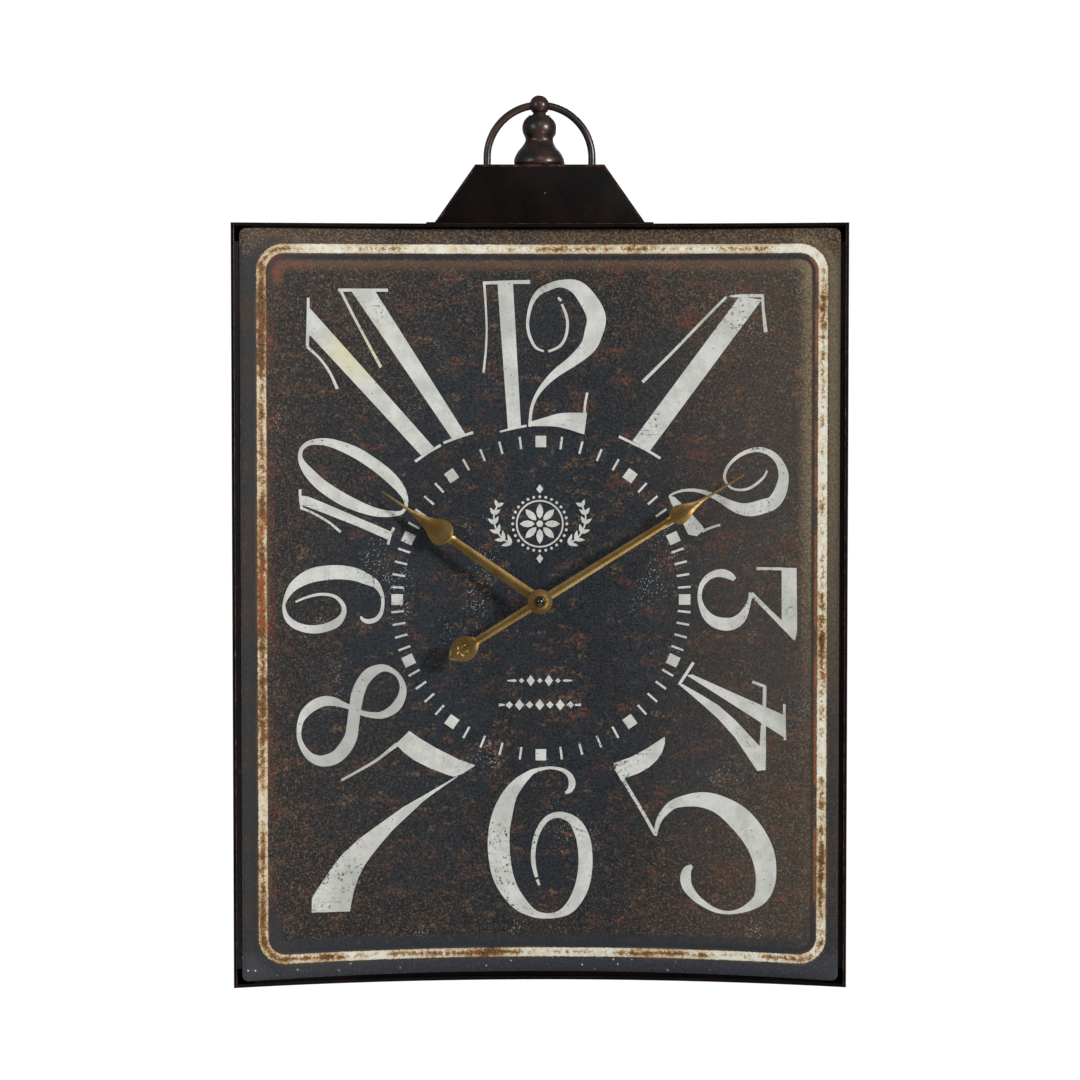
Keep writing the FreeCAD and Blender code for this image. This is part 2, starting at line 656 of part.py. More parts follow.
def bow():
    """The bow: a half ring whose two straight legs pass through the strap and take nuts below."""
    arch = bow_arch("bow_arch", "bow_wire")
    springing = "ball_height - bow_radius"
    legs = [rod(f"bow_leg_{n}", "bow_wire", (x, f"{SHOULDER_TOP} - bow_leg", "crown_out"),
                f"bow_leg + {springing}", "y") for n, x in enumerate(("-bow_radius", "bow_radius"))]
    return finish(fuse("bow_ring_fused", arch, *legs), "bow_ring")


def under_strap(x, down):
    """Placement below the strap's top, z pointing down along the post."""
    top = num(SHOULDER_TOP) - num("sheet_metal")
    return Placement(Vector(x, top - down, num("crown_out")), Rotation(Vector(1, 0, 0), 90))


shoulder_strap()
shoulder_face("shoulder_front", "flange_inset + shoulder_depth - sheet_metal - 0.6")
shoulder_face("shoulder_back", "flange_inset")
crown_base()
crown_ball()
bow()
stud = body("stud_rod")
stud_outline = sketch(stud, "XZ_Plane", "stud_outline", f"-({SHOULDER_TOP} - 12)")
pad(stud, circle(stud_outline, "0", "crown_out", "stud_radius"), "12 + 50.5", "stud_pad", back=True)
finish(stud, "crown_stud")
washer = Part.makeCylinder(7, 1).cut(Part.makeCylinder(num("crown_bore"), 1))
finish(solid("stud_washer", copies(washer, [under_strap(0, 0.02)])), "crown_washer")
finish(solid("stud_nut", copies(hexagon(10, 5, num("crown_bore")), [under_strap(0, 1.04)])),
       "crown_nut")
bow_x = num("bow_radius")
bow_nut = hexagon(12, 5, num("bow_wire") + 0.05)
finish(solid("bow_nut_pair", copies(bow_nut, [under_strap(s * bow_x, 0.02) for s in (-1, 1)])),
       "bow_nuts")


# ---------------------------------------------------------------- hands

def blade(upper, thickness):
    """Flat hand along +y from an outline of (distance, half width) runs, the same on both sides.

    A run of two points is straight and a longer one is smooth.
    """
    edges = []
    for side in (1, -1):
        for run in upper:
            points = [Vector(side * half, far, 0) for far, half in run]
            if len(points) == 2:
                edges.append(Part.LineSegment(*points).toShape())
            else:
                curve = Part.BSplineCurve()
                curve.interpolate(points)
                edges.append(curve.toShape())
    for far, half in (upper[0][0], upper[-1][-1]):
        if half > 0:
            edges.append(Part.LineSegment(Vector(half, far, 0), Vector(-half, far, 0)).toShape())
    wire = Part.Wire(Part.__sortEdges__(edges))
    return Part.Face(wire).extrude(Vector(0, 0, thickness))


MINUTE_OUTLINE = [
    [(-98.4, 0.0), (-95.0, 4.2), (-91.0, 7.8), (-85.5, 10.9), (-80.5, 11.4), (-75.5, 10.0),
     (-71.5, 7.0), (-68.5, 3.9)],
    [(-68.5, 3.9), (-66.5, 3.4)],
    [(-66.5, 3.4), (0.0, 4.1)],
    [(0.0, 4.1), (141.0, 3.3)],
    [(141.0, 3.3), (142.6, 5.6), (145.5, 7.9), (150.0, 9.0), (155.6, 7.6), (161.5, 4.9),
     (168.0, 2.8), (176.0, 1.6), (184.0, 1.25)],
    [(184.0, 1.25), (219.5, 0.9)],
]
HOUR_OUTLINE = [
    [(0.0, 5.1), (99.8, 4.1)],
    [(99.8, 4.1), (101.4, 7.2), (104.6, 10.6), (110.0, 12.1), (115.6, 10.6), (122.0, 7.2),
     (130.0, 4.3), (140.0, 2.3), (149.0, 1.35)],
    [(149.0, 1.35), (176.0, 0.9)],
]


def hand(label, outline, turn, out, hub, bore):
    """A hand with its hub, turned clockwise from twelve o'clock by turn degrees."""
    thickness = num("hand_sheet")
    boss = Part.makeCylinder(hub, num("hub_height"), Vector(0, 0, -0.5))
    made = blade(outline, thickness).fuse(boss)
    made = made.cut(Part.makeCylinder(bore, 6, Vector(0, 0, -2)))
    made.rotate(Vector(), Vector(0, 0, 1), -turn)
    made.translate(Vector(0, 0, out))
    return finish(solid(label + "_plate", made), label, SHAFT_UP)


minute_turn = num("minute_angle")
hour_turn = 10 * 30 + minute_turn / 12
hand("minute_hand", MINUTE_OUTLINE, minute_turn, num("minute_hand_out"), num("minute_hub"),
     num("thread_radius") + 0.02)
hand("hour_hand", HOUR_OUTLINE, hour_turn, num("hour_hand_out"), num("hour_hub"),
     num("pipe_radius") + 0.02)


def cap_nut():
    """Domed nut that holds the minute hand."""
    radius, foot = 4.3, num("minute_hand_out - 0.5 + hub_height")
    dome = Part.makeSphere(radius, Vector(0, 0, 1.4), Vector(0, 0, 1), 0, 90, 360)
    made = Part.makeCylinder(radius, 1.4).fuse(dome).removeSplitter()
    made.translate(Vector(0, 0, foot))
    bore = Part.makeCylinder(num("thread_radius") + 0.02, num("shaft_end") + 5.2)
    return finish(solid("cap", made.cut(bore)), "cap_nut", SHAFT_UP)


cap_nut()


# ---------------------------------------------------------------- movement

def gear(teeth, module, thickness, bore=0.0, phase=0.0):
    """Involute wheel standing on z = 0, with a tooth centred at the angle phase, in radians."""
    pressure = math.radians(20)
    pitch = module * teeth / 2
    base = pitch * math.cos(pressure)
    tip, root = pitch + module, pitch - 1.25 * module

    def involute(angle):
        return math.tan(angle) - angle

    def half_angle(radius):
        half = math.pi / (2 * teeth) - num("backlash") / (2 * pitch)
        rolled = math.acos(base / radius) if radius > base else 0
        return half + involute(pressure) - involute(rolled)

    flank = [root, max(base, root + 0.01), pitch, (pitch + tip) / 2, tip]
    if root >= base:
        del flank[1]
    points = []
    for tooth in range(teeth):
        middle = phase + 2 * math.pi * tooth / teeth
        sides = [(r, middle - half_angle(r)) for r in flank]
        sides += [(r, middle + half_angle(r)) for r in reversed(flank)]
        points += [Vector(r * math.cos(a), r * math.sin(a), 0) for r, a in sides]
    blank = Part.Face(Part.makePolygon(points + points[:1])).extrude(Vector(0, 0, thickness))
    return blank.cut(Part.makeCylinder(bore, thickness)) if bore else blank


def meshing_phase(phase, teeth, direction, other_teeth):
    """Phase of the second wheel when the first has that phase, and direction points to the second."""
    along = (direction - phase) * teeth / (2 * math.pi)
    return direction + math.pi - (0.5 - along) * 2 * math.pi / other_teeth


def beyond(place, distance, degrees):
    """A point at that distance and direction from another, and the direction in radians."""
    angle = math.radians(degrees)
    return (place + Vector(distance * math.cos(angle), distance * math.sin(angle), 0), angle)


def stack(*slices):
    """Round steps on one axis: each is (radius, lowest z, highest z)."""
    steps = [Part.makeCylinder(r, b - a, Vector(0, 0, a)) for r, a, b in slices]
    return steps[0].multiFuse(steps[1:]) if len(steps) > 1 else steps[0]


def lifted(shape, z):
    moved = shape.copy()
    moved.translate(Vector(0, 0, z))
    return moved


def arbor(label, place, *shapes):
    """Joins what is fixed on one arbor into a single piece and puts it in its place."""
    made = shapes[0].multiFuse(list(shapes[1:])).removeSplitter() if len(shapes) > 1 else shapes[0]
    made.translate(place)
    return finish(solid(label + "_fused", made), label, SHAFT_UP)


m_motion, m_hour, m_train = num("motion_module"), num("hour_module"), num("train_module")
thin = num("wheel_sheet")
thick = thin + 0.4
arbor_r, pivot_r, gap = num("arbor_radius"), num("pivot_radius"), num("running_gap")
shaft_r = num("shaft_radius")
CENTRE = Vector()

# tooth counts: cannon 12 to minute wheel 36, its pinion 10 to hour wheel 40, which makes 12 to 1
CANNON, MINUTE_WHEEL, MINUTE_PINION, HOUR_WHEEL, SETTING = 12, 36, 10, 40, 12
# train: second wheel's pinion 8 to third wheel 64, its pinion 8 to centre wheel 60, 60 to 1
CENTRE_WHEEL, THIRD_WHEEL, SECOND_WHEEL, FIFTH_WHEEL = 60, 64, 60, 60
THIRD_PINION, SECOND_PINION, FIFTH_PINION, ROTOR_PINION = 8, 8, 12, 10

third, to_third = beyond(CENTRE, m_train * (CENTRE_WHEEL + THIRD_PINION) / 2, 150)
second, to_second = beyond(third, m_train * (THIRD_WHEEL + SECOND_PINION) / 2, 60)
fifth, to_fifth = beyond(second, m_train * (SECOND_WHEEL + FIFTH_PINION) / 2, -10)
rotor, to_rotor = beyond(fifth, m_train * (FIFTH_WHEEL + ROTOR_PINION) / 2, -20)
idler, to_idler = beyond(CENTRE, m_motion * (CANNON + MINUTE_WHEEL) / 2, -60)
setter, to_setter = beyond(idler, m_motion * (MINUTE_WHEEL + SETTING) / 2, -15)

# minute shaft with the cannon pinion, inside the hour pipe
arbor("minute_shaft", CENTRE,
      stack((arbor_r + 0.05, 29.55, 30.2), (1.0, 30.2, 32.2), (shaft_r, 33.4, num("shaft_end")),
            (num("thread_radius"), num("shaft_end"), num("shaft_end") + 5)),
      lifted(gear(CANNON, m_motion, 1.2), 32.2))
hour_pipe = stack((num("pipe_radius"), 35.0, num("hour_hand_out") + 2.2)).cut(
    Part.makeCylinder(num("pipe_bore"), 100))
idler_phase = meshing_phase(0, CANNON, to_idler, MINUTE_WHEEL)
hour_phase = meshing_phase(0, MINUTE_PINION, to_idler + math.pi, HOUR_WHEEL)
arbor("hour_wheel", CENTRE,
      lifted(gear(HOUR_WHEEL, m_hour, 1.0, num("pipe_bore"), hour_phase), 34.1), hour_pipe)
arbor("minute_wheel", idler,
      lifted(gear(MINUTE_WHEEL, m_motion, thin, arbor_r, idler_phase), 32.4),
      lifted(gear(MINUTE_PINION, m_hour, 2.2, arbor_r), 33.2))


def setting_knob():
    """Knurled knob outside the case, its stem and the small gear that turns the minute wheel."""
    grip = Part.makeCylinder(5.2, 4.4, Vector(0, 0, 17))
    flutes = [Part.makeCylinder(0.45, 4.4, Vector(5.3 * math.cos(a), 5.3 * math.sin(a), 17))
              for a in (2 * math.pi * k / 24 for k in range(24))]
    stem = stack((2.6, 21.4, 21.9), (1.5, 21.9, 32.2), (arbor_r, 33.4, 37.4))
    phase = meshing_phase(idler_phase, MINUTE_WHEEL, to_setter, SETTING)
    return arbor("setting_knob", setter, grip.cut(flutes), stem,
                 lifted(gear(SETTING, m_motion, 1.2, 0, phase), 32.2))


setting_knob()
arbor("centre_wheel", CENTRE, lifted(gear(CENTRE_WHEEL, m_train, thin, 1.0 + gap), 30.4))
third_phase = meshing_phase(0, CENTRE_WHEEL, to_third, THIRD_PINION)
arbor("third_wheel", third,
      lifted(gear(THIRD_WHEEL, m_train, thin), 28.4),
      lifted(gear(THIRD_PINION, m_train, thick, 0, third_phase), 30.2),
      stack((pivot_r, 22.5, 23.4), (arbor_r, 23.4, 28.4), (arbor_r, 29.2, 30.2),
            (arbor_r, 31.4, 36.6), (pivot_r, 36.6, 37.5)))
second_phase = meshing_phase(0, THIRD_WHEEL, to_second, SECOND_PINION)
arbor("second_wheel", second,
      lifted(gear(SECOND_WHEEL, m_train, thin), 26.4),
      lifted(gear(SECOND_PINION, m_train, thick, 0, second_phase), 28.2),
      stack((pivot_r, 22.5, 23.4), (arbor_r, 23.4, 26.4), (arbor_r, 27.2, 28.2),
            (pivot_r, 29.4, 30.0)))
fifth_phase = meshing_phase(0, SECOND_WHEEL, to_fifth, FIFTH_PINION)
arbor("fifth_wheel", fifth,
      lifted(gear(FIFTH_WHEEL, m_train, thin), 24.4),
      lifted(gear(FIFTH_PINION, m_train, thick, 0, fifth_phase), 26.2),
      stack((pivot_r, 22.5, 23.4), (arbor_r, 23.4, 24.4), (arbor_r, 25.2, 26.2),
            (arbor_r, 27.4, 29.3), (pivot_r, 29.3, 30.0)))
rotor_phase = meshing_phase(0, FIFTH_WHEEL, to_rotor, ROTOR_PINION)
arbor("rotor_pinion", rotor,
      lifted(gear(ROTOR_PINION, m_train, thick, 0, rotor_phase), 24.2),
      stack((pivot_r, 22.5, 23.4), (arbor_r, 23.4, 24.2), (arbor_r, 25.4, 29.3),
            (pivot_r, 29.3, 30.0)))
magnet = Part.makeCylinder(3, 2.4, Vector(0, 0, 26.6)).cut(Part.makeCylinder(arbor_r + 0.01, 40))
arbor("rotor_magnet", rotor, magnet)


def drilled(shape, *holes):
    """Cuts round holes: each is (place, radius, lowest z, highest z)."""
    return shape.cut([Part.makeCylinder(r, b - a, p + Vector(0, 0, a)) for p, r, a, b in holes])


def block(x0, y0, x1, y1, z0, z1):
    return Part.makeBox(x1 - x0, y1 - y0, z1 - z0, Vector(x0, y0, z0))


half, below, above = num("movement_half"), num("movement_below"), num("movement_above")
rear, front, wall = num("movement_back"), num("movement_front"), num("movement_wall")
floor, ceiling = rear + wall, front - wall
BAY_TOP = -19.2


def movement_plate():
    """Front plate of the movement with the threaded bush and the post of the minute wheel."""
    plate = block(-half, -below, half, above, ceiling, front)
    bush = Part.makeCylinder(num("bush_radius"), num("bush_end") - ceiling, Vector(0, 0, ceiling))
    post = Part.makeCylinder(arbor_r - gap, ceiling - 31.9, idler + Vector(0, 0, 31.9))
    made = plate.multiFuse([bush, post]).removeSplitter()
    made = drilled(made, (CENTRE, num("bush_bore"), ceiling - 1, num("bush_end")),
                   (third, pivot_r + gap, ceiling, 37.6), (setter, arbor_r + gap, ceiling, 37.5))
    return finish(solid("plate_bored", made), "movement_plate", SHAFT_UP)


def movement_cover():
    """Back of the movement: a deep moulding with a room for the wheels and an open battery bay."""
    made = block(-half, -below, half, above, rear, ceiling)
    room = block(-half + wall, BAY_TOP + 1.2, half - wall, above - wall, floor, ceiling)
    bay = block(-half + 1, -below + 1.2, half - 1, BAY_TOP, rear, ceiling)
    made = made.cut([room, bay])
    rear_pivots = [(p, pivot_r + gap, floor - 0.8, floor) for p in (third, second, fifth, rotor)]
    made = drilled(made, (setter, 1.6, rear, floor), *rear_pivots)
    return finish(solid("cover_bored", made), "movement_cover", SHAFT_UP)


def gear_bridge():
    """Inner plate on four posts that holds the front pivots of the train."""
    plate = block(-16, -4, 13.6, 17.5, 29.5, 30.1)
    posts = [Part.makeCylinder(1.2, 29.5 - floor, Vector(x, y, floor))
             for x, y in ((-14.5, -2.4), (-14.5, 15.9), (9.8, 15.9), (9.8, -2.4))]
    made = plate.multiFuse(posts).removeSplitter()
    holes = [(p, pivot_r + gap, 29, 31) for p in (second, fifth, rotor)]
    made = drilled(made, (CENTRE, arbor_r + 0.05 + gap, 29, 31), (third, arbor_r + 0.15, 29, 31),
                   *holes)
    return finish(solid("bridge_drilled", made), "gear_bridge", SHAFT_UP)


def stator():
    """Soft-iron stator: a lug round the rotor and two arms that meet the coil's core."""
    made = block(7.3, 1.5, 17.5, 10.5, 27, 28.2).multiFuse([
        block(14.5, -15, 17.5, 16.2, 27, 28.2),
        block(17.5, 13.2, 25, 16.2, 27, 28.2),
        block(17.5, -15, 25, -12, 27, 28.2),
    ]).removeSplitter()
    return finish(solid("stator_iron", drilled(made, (rotor, 3.5, 26, 29))), "stator", SHAFT_UP)


COIL_X, COIL_OUT = 22, 28.85


def coil_core():
    core = block(COIL_X - 1.5, -15, COIL_X + 1.5, 16.2, 28.22, 29.42)
    return finish(solid("core_iron", core), "coil_core", SHAFT_UP)


def coil_winding():
    """Copper winding round the core, between two flanges."""
    middle = Vector(COIL_X, -11, COIL_OUT)
    wire = Part.makeCylinder(3.1, 23, middle, Vector(0, 1, 0))
    cheeks = [Part.makeCylinder(3.6, 0.8, middle + Vector(0, y, 0), Vector(0, 1, 0)) for y in (0, 22.2)]
    slot = block(COIL_X - 1.52, -16, COIL_X + 1.52, 17, 28.2, 29.44)
    made = wire.multiFuse(cheeks).removeSplitter().cut(slot)
    return finish(solid("winding_wire", made), "coil_winding", SHAFT_UP)


def circuit_board():
    board = block(-26.3, -17.4, -17.2, 18, 30.5, 31.5)
    blob = Part.makeSphere(4, Vector(-21.8, -4, 28.9)).common(block(-30, -12, -10, 6, 31.5, 40))
    made = board.fuse(blob).removeSplitter()
    return finish(solid("board_and_chip", made), "circuit_board", SHAFT_UP)


def quartz_crystal():
    can = Part.makeCylinder(1.05, 6.2, Vector(-20, 6, 32.58), Vector(0, 1, 0))
    return finish(solid("crystal_can", can), "quartz_crystal", SHAFT_UP)


def battery():
    """AA cell with its raised positive cap, lying across the bay."""
    radius, length = num("battery_radius"), num("battery_length")
    start = Vector(-24.4, num("battery_up"), (rear + ceiling) / 2 - 0.1)
    can = Part.makeCylinder(radius, length - 1, start, Vector(1, 0, 0))
    cap = Part.makeCylinder(2.6, 1, start + Vector(length - 1, 0, 0), Vector(1, 0, 0))
    return finish(solid("battery_cell", can.fuse(cap)), "battery", SHAFT_UP)


def contacts():
    """Spring strips at the two ends of the bay."""
    up, out = num("battery_up"), (rear + ceiling) / 2
    plus = block(half - 1.5, up - 4, half - 1.05, up + 4, out - 5, out + 5)
    finish(solid("plus_strip", plus), "contact_positive", SHAFT_UP)
    points = [Vector(x, up - 3.5, z) for x, z in
              ((-half + 1.05, out - 5), (-half + 1.05, out + 5), (-half + 1.5, out + 5),
               (-half + 1.5, out + 3.2), (-24.5, out + 0.4), (-24.5, out - 0.4),
               (-24.95, out - 0.4), (-24.95, out + 0.2), (-half + 1.5, out + 2.5),
               (-half + 1.5, out - 5))]
    strip = Part.Face(Part.makePolygon(points + points[:1])).extrude(Vector(0, 7, 0))
    finish(solid("minus_strip", strip), "contact_negative", SHAFT_UP)


movement_plate()
movement_cover()
gear_bridge()
stator()
coil_core()
coil_winding()
circuit_board()
quartz_crystal()
contacts()
battery()


def ring(outer, inner, low, high):
    return Part.makeCylinder(outer, high - low, Vector(0, 0, low)).cut(
        Part.makeCylinder(inner, high - low, Vector(0, 0, low)))


bush_r = num("bush_radius")
dial_back, dial_front = num("dial_back"), num("dial_back + dial_sheet")
# the dial bends away from the shaft, so what lies flat on its front stays a hair clear of it
finish(solid("rubber_ring", ring(10, bush_r + 0.1, front, dial_back - 0.02)), "dial_washer", SHAFT_UP)
finish(solid("brass_ring", ring(7.5, bush_r + 0.1, dial_front + 0.06, dial_front + 0.6)),
       "bush_washer", SHAFT_UP)
nut = lifted(hexagon(12, 3, bush_r + 0.04), dial_front + 0.62)
finish(solid("bush_hexagon", nut), "bush_nut", SHAFT_UP)


# ---------------------------------------------------------------- check and write

doc.recompute()
failed = [o.Label for o in doc.Objects if {"Invalid", "Error"} & set(o.State)]
if failed:
    raise SystemExit(f"these objects failed: {failed}")
for part in PARTS:
    if part.Shape.isNull() or not part.Shape.isValid() or not part.Shape.Solids:
        raise SystemExit(f"{part.Label} has no valid solid")
labels = [part.Label for part in PARTS]
if len(set(labels)) != len(labels):
    raise SystemExit("two sub-parts share a name")
os.makedirs("parts", exist_ok=True)
for part in PARTS:
    part.Shape.exportStep(f"parts/{part.Label}.step")
    print(f"{part.Label}: {len(part.Shape.Solids)} solid(s), {part.Shape.Volume:.1f} mm3")
print(len(PARTS), "sub-parts")
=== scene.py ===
# %% [markdown]
# # A wall clock with a dial bent like a trough
#
# The clock hangs from a keyhole in the plane y = 0. The dial faces -Y, +X is to the reader's
# right and +Z is up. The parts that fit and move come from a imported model, the frame, and this
# lesson gives them their looks: worn paint, pressed brass hands, turned bronze and moulded parts.
# Everything is in metres, in the frame's own place, so nothing is fitted by eye.

# %% Load the frame
import json
import math

import bmesh
import bpy
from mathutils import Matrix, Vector


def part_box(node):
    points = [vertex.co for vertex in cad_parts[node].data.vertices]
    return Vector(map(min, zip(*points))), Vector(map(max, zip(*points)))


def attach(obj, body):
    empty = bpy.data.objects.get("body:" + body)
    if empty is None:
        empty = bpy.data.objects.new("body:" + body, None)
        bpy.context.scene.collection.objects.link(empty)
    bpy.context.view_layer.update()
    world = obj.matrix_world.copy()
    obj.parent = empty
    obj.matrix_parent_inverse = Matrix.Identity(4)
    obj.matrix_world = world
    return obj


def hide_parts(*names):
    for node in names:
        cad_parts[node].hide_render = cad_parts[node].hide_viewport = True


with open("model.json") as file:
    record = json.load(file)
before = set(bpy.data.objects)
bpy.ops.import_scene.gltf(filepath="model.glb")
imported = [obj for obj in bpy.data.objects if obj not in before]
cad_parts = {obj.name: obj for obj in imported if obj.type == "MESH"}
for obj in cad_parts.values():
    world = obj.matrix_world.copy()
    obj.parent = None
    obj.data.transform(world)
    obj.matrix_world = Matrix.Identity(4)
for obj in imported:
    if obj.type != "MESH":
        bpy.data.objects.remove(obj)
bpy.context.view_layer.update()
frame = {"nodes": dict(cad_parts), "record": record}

scene = bpy.context.scene

# %% [markdown]
# ## Measures taken from the frame
#
# A maker first finds the datum lines: where the shaft stands, and how far the dial is bent. The
# dial is a piece of a cylinder whose axis is upright, so one radius describes it, and that radius
# follows from half the dial's width and the depth of its hollow.

# %% Datum lines
MM = 0.001
DIAL_SHEET = 1.0 * MM
dial_low, dial_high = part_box("dial_panel")
shaft_low, shaft_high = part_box("minute_shaft")
SHAFT_Z = (shaft_low.z + shaft_high.z) / 2
DIAL_MIDDLE_Z = (dial_low.z + dial_high.z) / 2
DIAL_HALF_WIDTH = dial_high.x
DIAL_HALF_HEIGHT = (dial_high.z - dial_low.z) / 2
dial_sag = dial_high.y - dial_low.y - DIAL_SHEET
DIAL_RADIUS = (DIAL_HALF_WIDTH ** 2 + dial_sag ** 2) / (2 * dial_sag)
DIAL_MIDDLE_Y = dial_high.y - DIAL_SHEET


def dial_front(x):
    """How far out the front of the dial is at x."""
    return DIAL_MIDDLE_Y - DIAL_RADIUS + math.sqrt(DIAL_RADIUS ** 2 - x ** 2)


print(f"dial radius {DIAL_RADIUS:.3f} m, hollow {dial_sag / MM:.1f} mm, shaft at {SHAFT_Z:.4f} m")

# %% [markdown]
# ## Node trees written as sums
#
# A finish is a sum of noises, steps and mixes. Wiring each Math node by hand hides that sum, so
# `Wire` wraps a node's output and Python's own operators add the Math nodes. Any other node comes
# from `node`, which first sets what kind of node it is and then its sockets. Geometry trees use
# the same class.

# %% A wire with arithmetic
class Wire:
    """An output socket of a node tree. Operators on it add Math nodes."""

    def __init__(self, tree, socket=None):
        self.tree = tree
        self.socket = socket

    def node(self, kind, settings=None, links=None, out=0):
        """Adds a node of that type: its settings first, then the values or wires of its sockets."""
        made = self.tree.nodes.new(kind)
        for name, value in (settings or {}).items():
            setattr(made, name, value)
        for key, value in (links or {}).items():
            if isinstance(value, Wire):
                self.tree.links.new(value.socket, made.inputs[key])
            else:
                made.inputs[key].default_value = value
        return Wire(self.tree, made.outputs[out])

    def maths(self, operation, first, second=0.0):
        return self.node("ShaderNodeMath", {"operation": operation}, {0: first, 1: second})

    def __add__(self, other):
        return self.maths("ADD", self, other)

    def __sub__(self, other):
        return self.maths("SUBTRACT", self, other)

    def __rsub__(self, other):
        return self.maths("SUBTRACT", other, self)

    def __mul__(self, other):
        return self.maths("MULTIPLY", self, other)

    def __truediv__(self, other):
        return self.maths("DIVIDE", self, other)

    def __pow__(self, other):
        return self.maths("POWER", self, other)

    def __mod__(self, other):
        return self.maths("MODULO", self, other)

    def __abs__(self):
        return self.maths("ABSOLUTE", self)

    __radd__ = __add__
    __rmul__ = __mul__


# %% [markdown]
# ## The words that every finish uses
#
# Four words cover nearly all of it: `noise` for clouds, `dots` for specks, `step` for a soft edge
# between two values and `mix` for one colour over another. `height` turns a wire into a bump.
# Colours are written as a paint maker reads them on a screen, from 0 to 255.

# %% Noise, dots, steps and mixes
def ink(red, green, blue):
    """A screen colour as the linear colour that a shader takes."""
    def linear(value):
        share = value / 255
        return share / 12.92 if share <= 0.04045 else ((share + 0.055) / 1.055) ** 2.4
    return (linear(red), linear(green), linear(blue), 1.0)


def noise(place, size, detail=3.0, rough=0.55):
    """Cloudy values from 0 to 1 whose largest clouds are about size metres."""
    return place.node("ShaderNodeTexNoise", None,
                      {"Vector": place, "Scale": 1 / size, "Detail": detail, "Roughness": rough})


def stretched(place, along_x, along_y, along_z):
    """The place with each axis multiplied, so that a pattern is drawn out or squeezed."""
    return place.node("ShaderNodeMapping", {"vector_type": "POINT"},
                      {"Vector": place, "Scale": (along_x, along_y, along_z)})


def dots(place, pitch, low, high):
    """Round specks about one to each pitch: 1 inside, and soft from low to high of the pitch."""
    far = place.node("ShaderNodeTexVoronoi", None, {"Vector": place, "Scale": 1 / pitch})
    return 1 - step(far, low, high)


def step(value, low, high):
    """0 below low and 1 above high, with a smooth climb between."""
    return value.node("ShaderNodeMapRange", {"interpolation_type": "SMOOTHSTEP"},
                      {0: value, 1: low, 2: high, 3: 0.0, 4: 1.0})


def mix(share, under, over):
    """The colour under, covered with the colour over where share is 1."""
    return share.node("ShaderNodeMix", {"data_type": "RGBA"}, {0: share, 6: under, 7: over}, 2)


def blend(share, under, over):
    """The same for plain values."""
    return share.node("ShaderNodeMix", {"data_type": "FLOAT"}, {0: share, 2: under, 3: over})


def height(value, depth, strength=1.0):
    """A bump whose values from 0 to 1 stand depth metres high."""
    return value.node("ShaderNodeBump", None,
                      {"Strength": strength, "Distance": depth, "Height": value})


def axes(place):
    """The x, y and z of a place as three wires."""
    return [place.node("ShaderNodeSeparateXYZ", None, {0: place}, axis) for axis in range(3)]


def larger(first, second):
    return first.maths("MAXIMUM", first, second)


def smaller(first, second):
    return first.maths("MINIMUM", first, second)


def length_of(first, second):
    return (first * first + second * second) ** 0.5


def finish(name, recipe):
    """A material: the recipe takes the place on the object and gives the shader's sockets."""
    made = bpy.data.materials.new(name)
    made.use_nodes = True
    tree = made.node_tree
    shader = tree.nodes["Principled BSDF"]
    place = Wire(tree).node("ShaderNodeTexCoord", out="Object")
    for socket, value in recipe(place).items():
        if isinstance(value, Wire):
            tree.links.new(value.socket, shader.inputs[socket])
        else:
            shader.inputs[socket].default_value = value
    return made


# %% [markdown]
# ## The dial's ground
#
# The dial is a printed sheet: a blue-black field that turns to a grainy brown towards its edges,
# with rust blots, pale flecks and a framing band of cream paint that has flaked. Its colour also
# holds painted light: a sheen on the right, shade on the left and shade along the band's step. It
# could be a drawn picture, but a picture blurs close up. A rule does better: the band is all the
# points at one distance from a rounded rectangle, so its paint, its flaking, the stains and the
# painted shade beside it all follow from that single distance.

# %% The distance to the framing band
BAND_HALF_X = 254.6 * MM
BAND_MIDDLE_X = 2.0 * MM
BAND_HALF_Z = 325.0 * MM
BAND_CORNER = 21 * MM
BAND_HALF_WIDTH = 4.2 * MM


def band_distance(across, up):
    """Metres outside the line in the middle of the band. It is negative inside."""
    past_x = abs(across - BAND_MIDDLE_X) - (BAND_HALF_X - BAND_CORNER)
    past_z = abs(up) - (BAND_HALF_Z - BAND_CORNER)
    outside = length_of(larger(past_x, 0.0), larger(past_z, 0.0))
    return outside + smaller(larger(past_x, past_z), 0.0) - BAND_CORNER


def between(distance, rise, full, fall, gone):
    """1 from full to fall, in millimetres from the band's middle line, and soft at both ends."""
    return step(distance, rise * MM, full * MM) * (1 - step(distance, fall * MM, gone * MM))


def seam_at(distance, middle, reach, core):
    """A thin line beside the band: 1 within core of its middle and 0 past reach, in millimetres."""
    return step(abs(distance - middle * MM), reach * MM, core * MM)


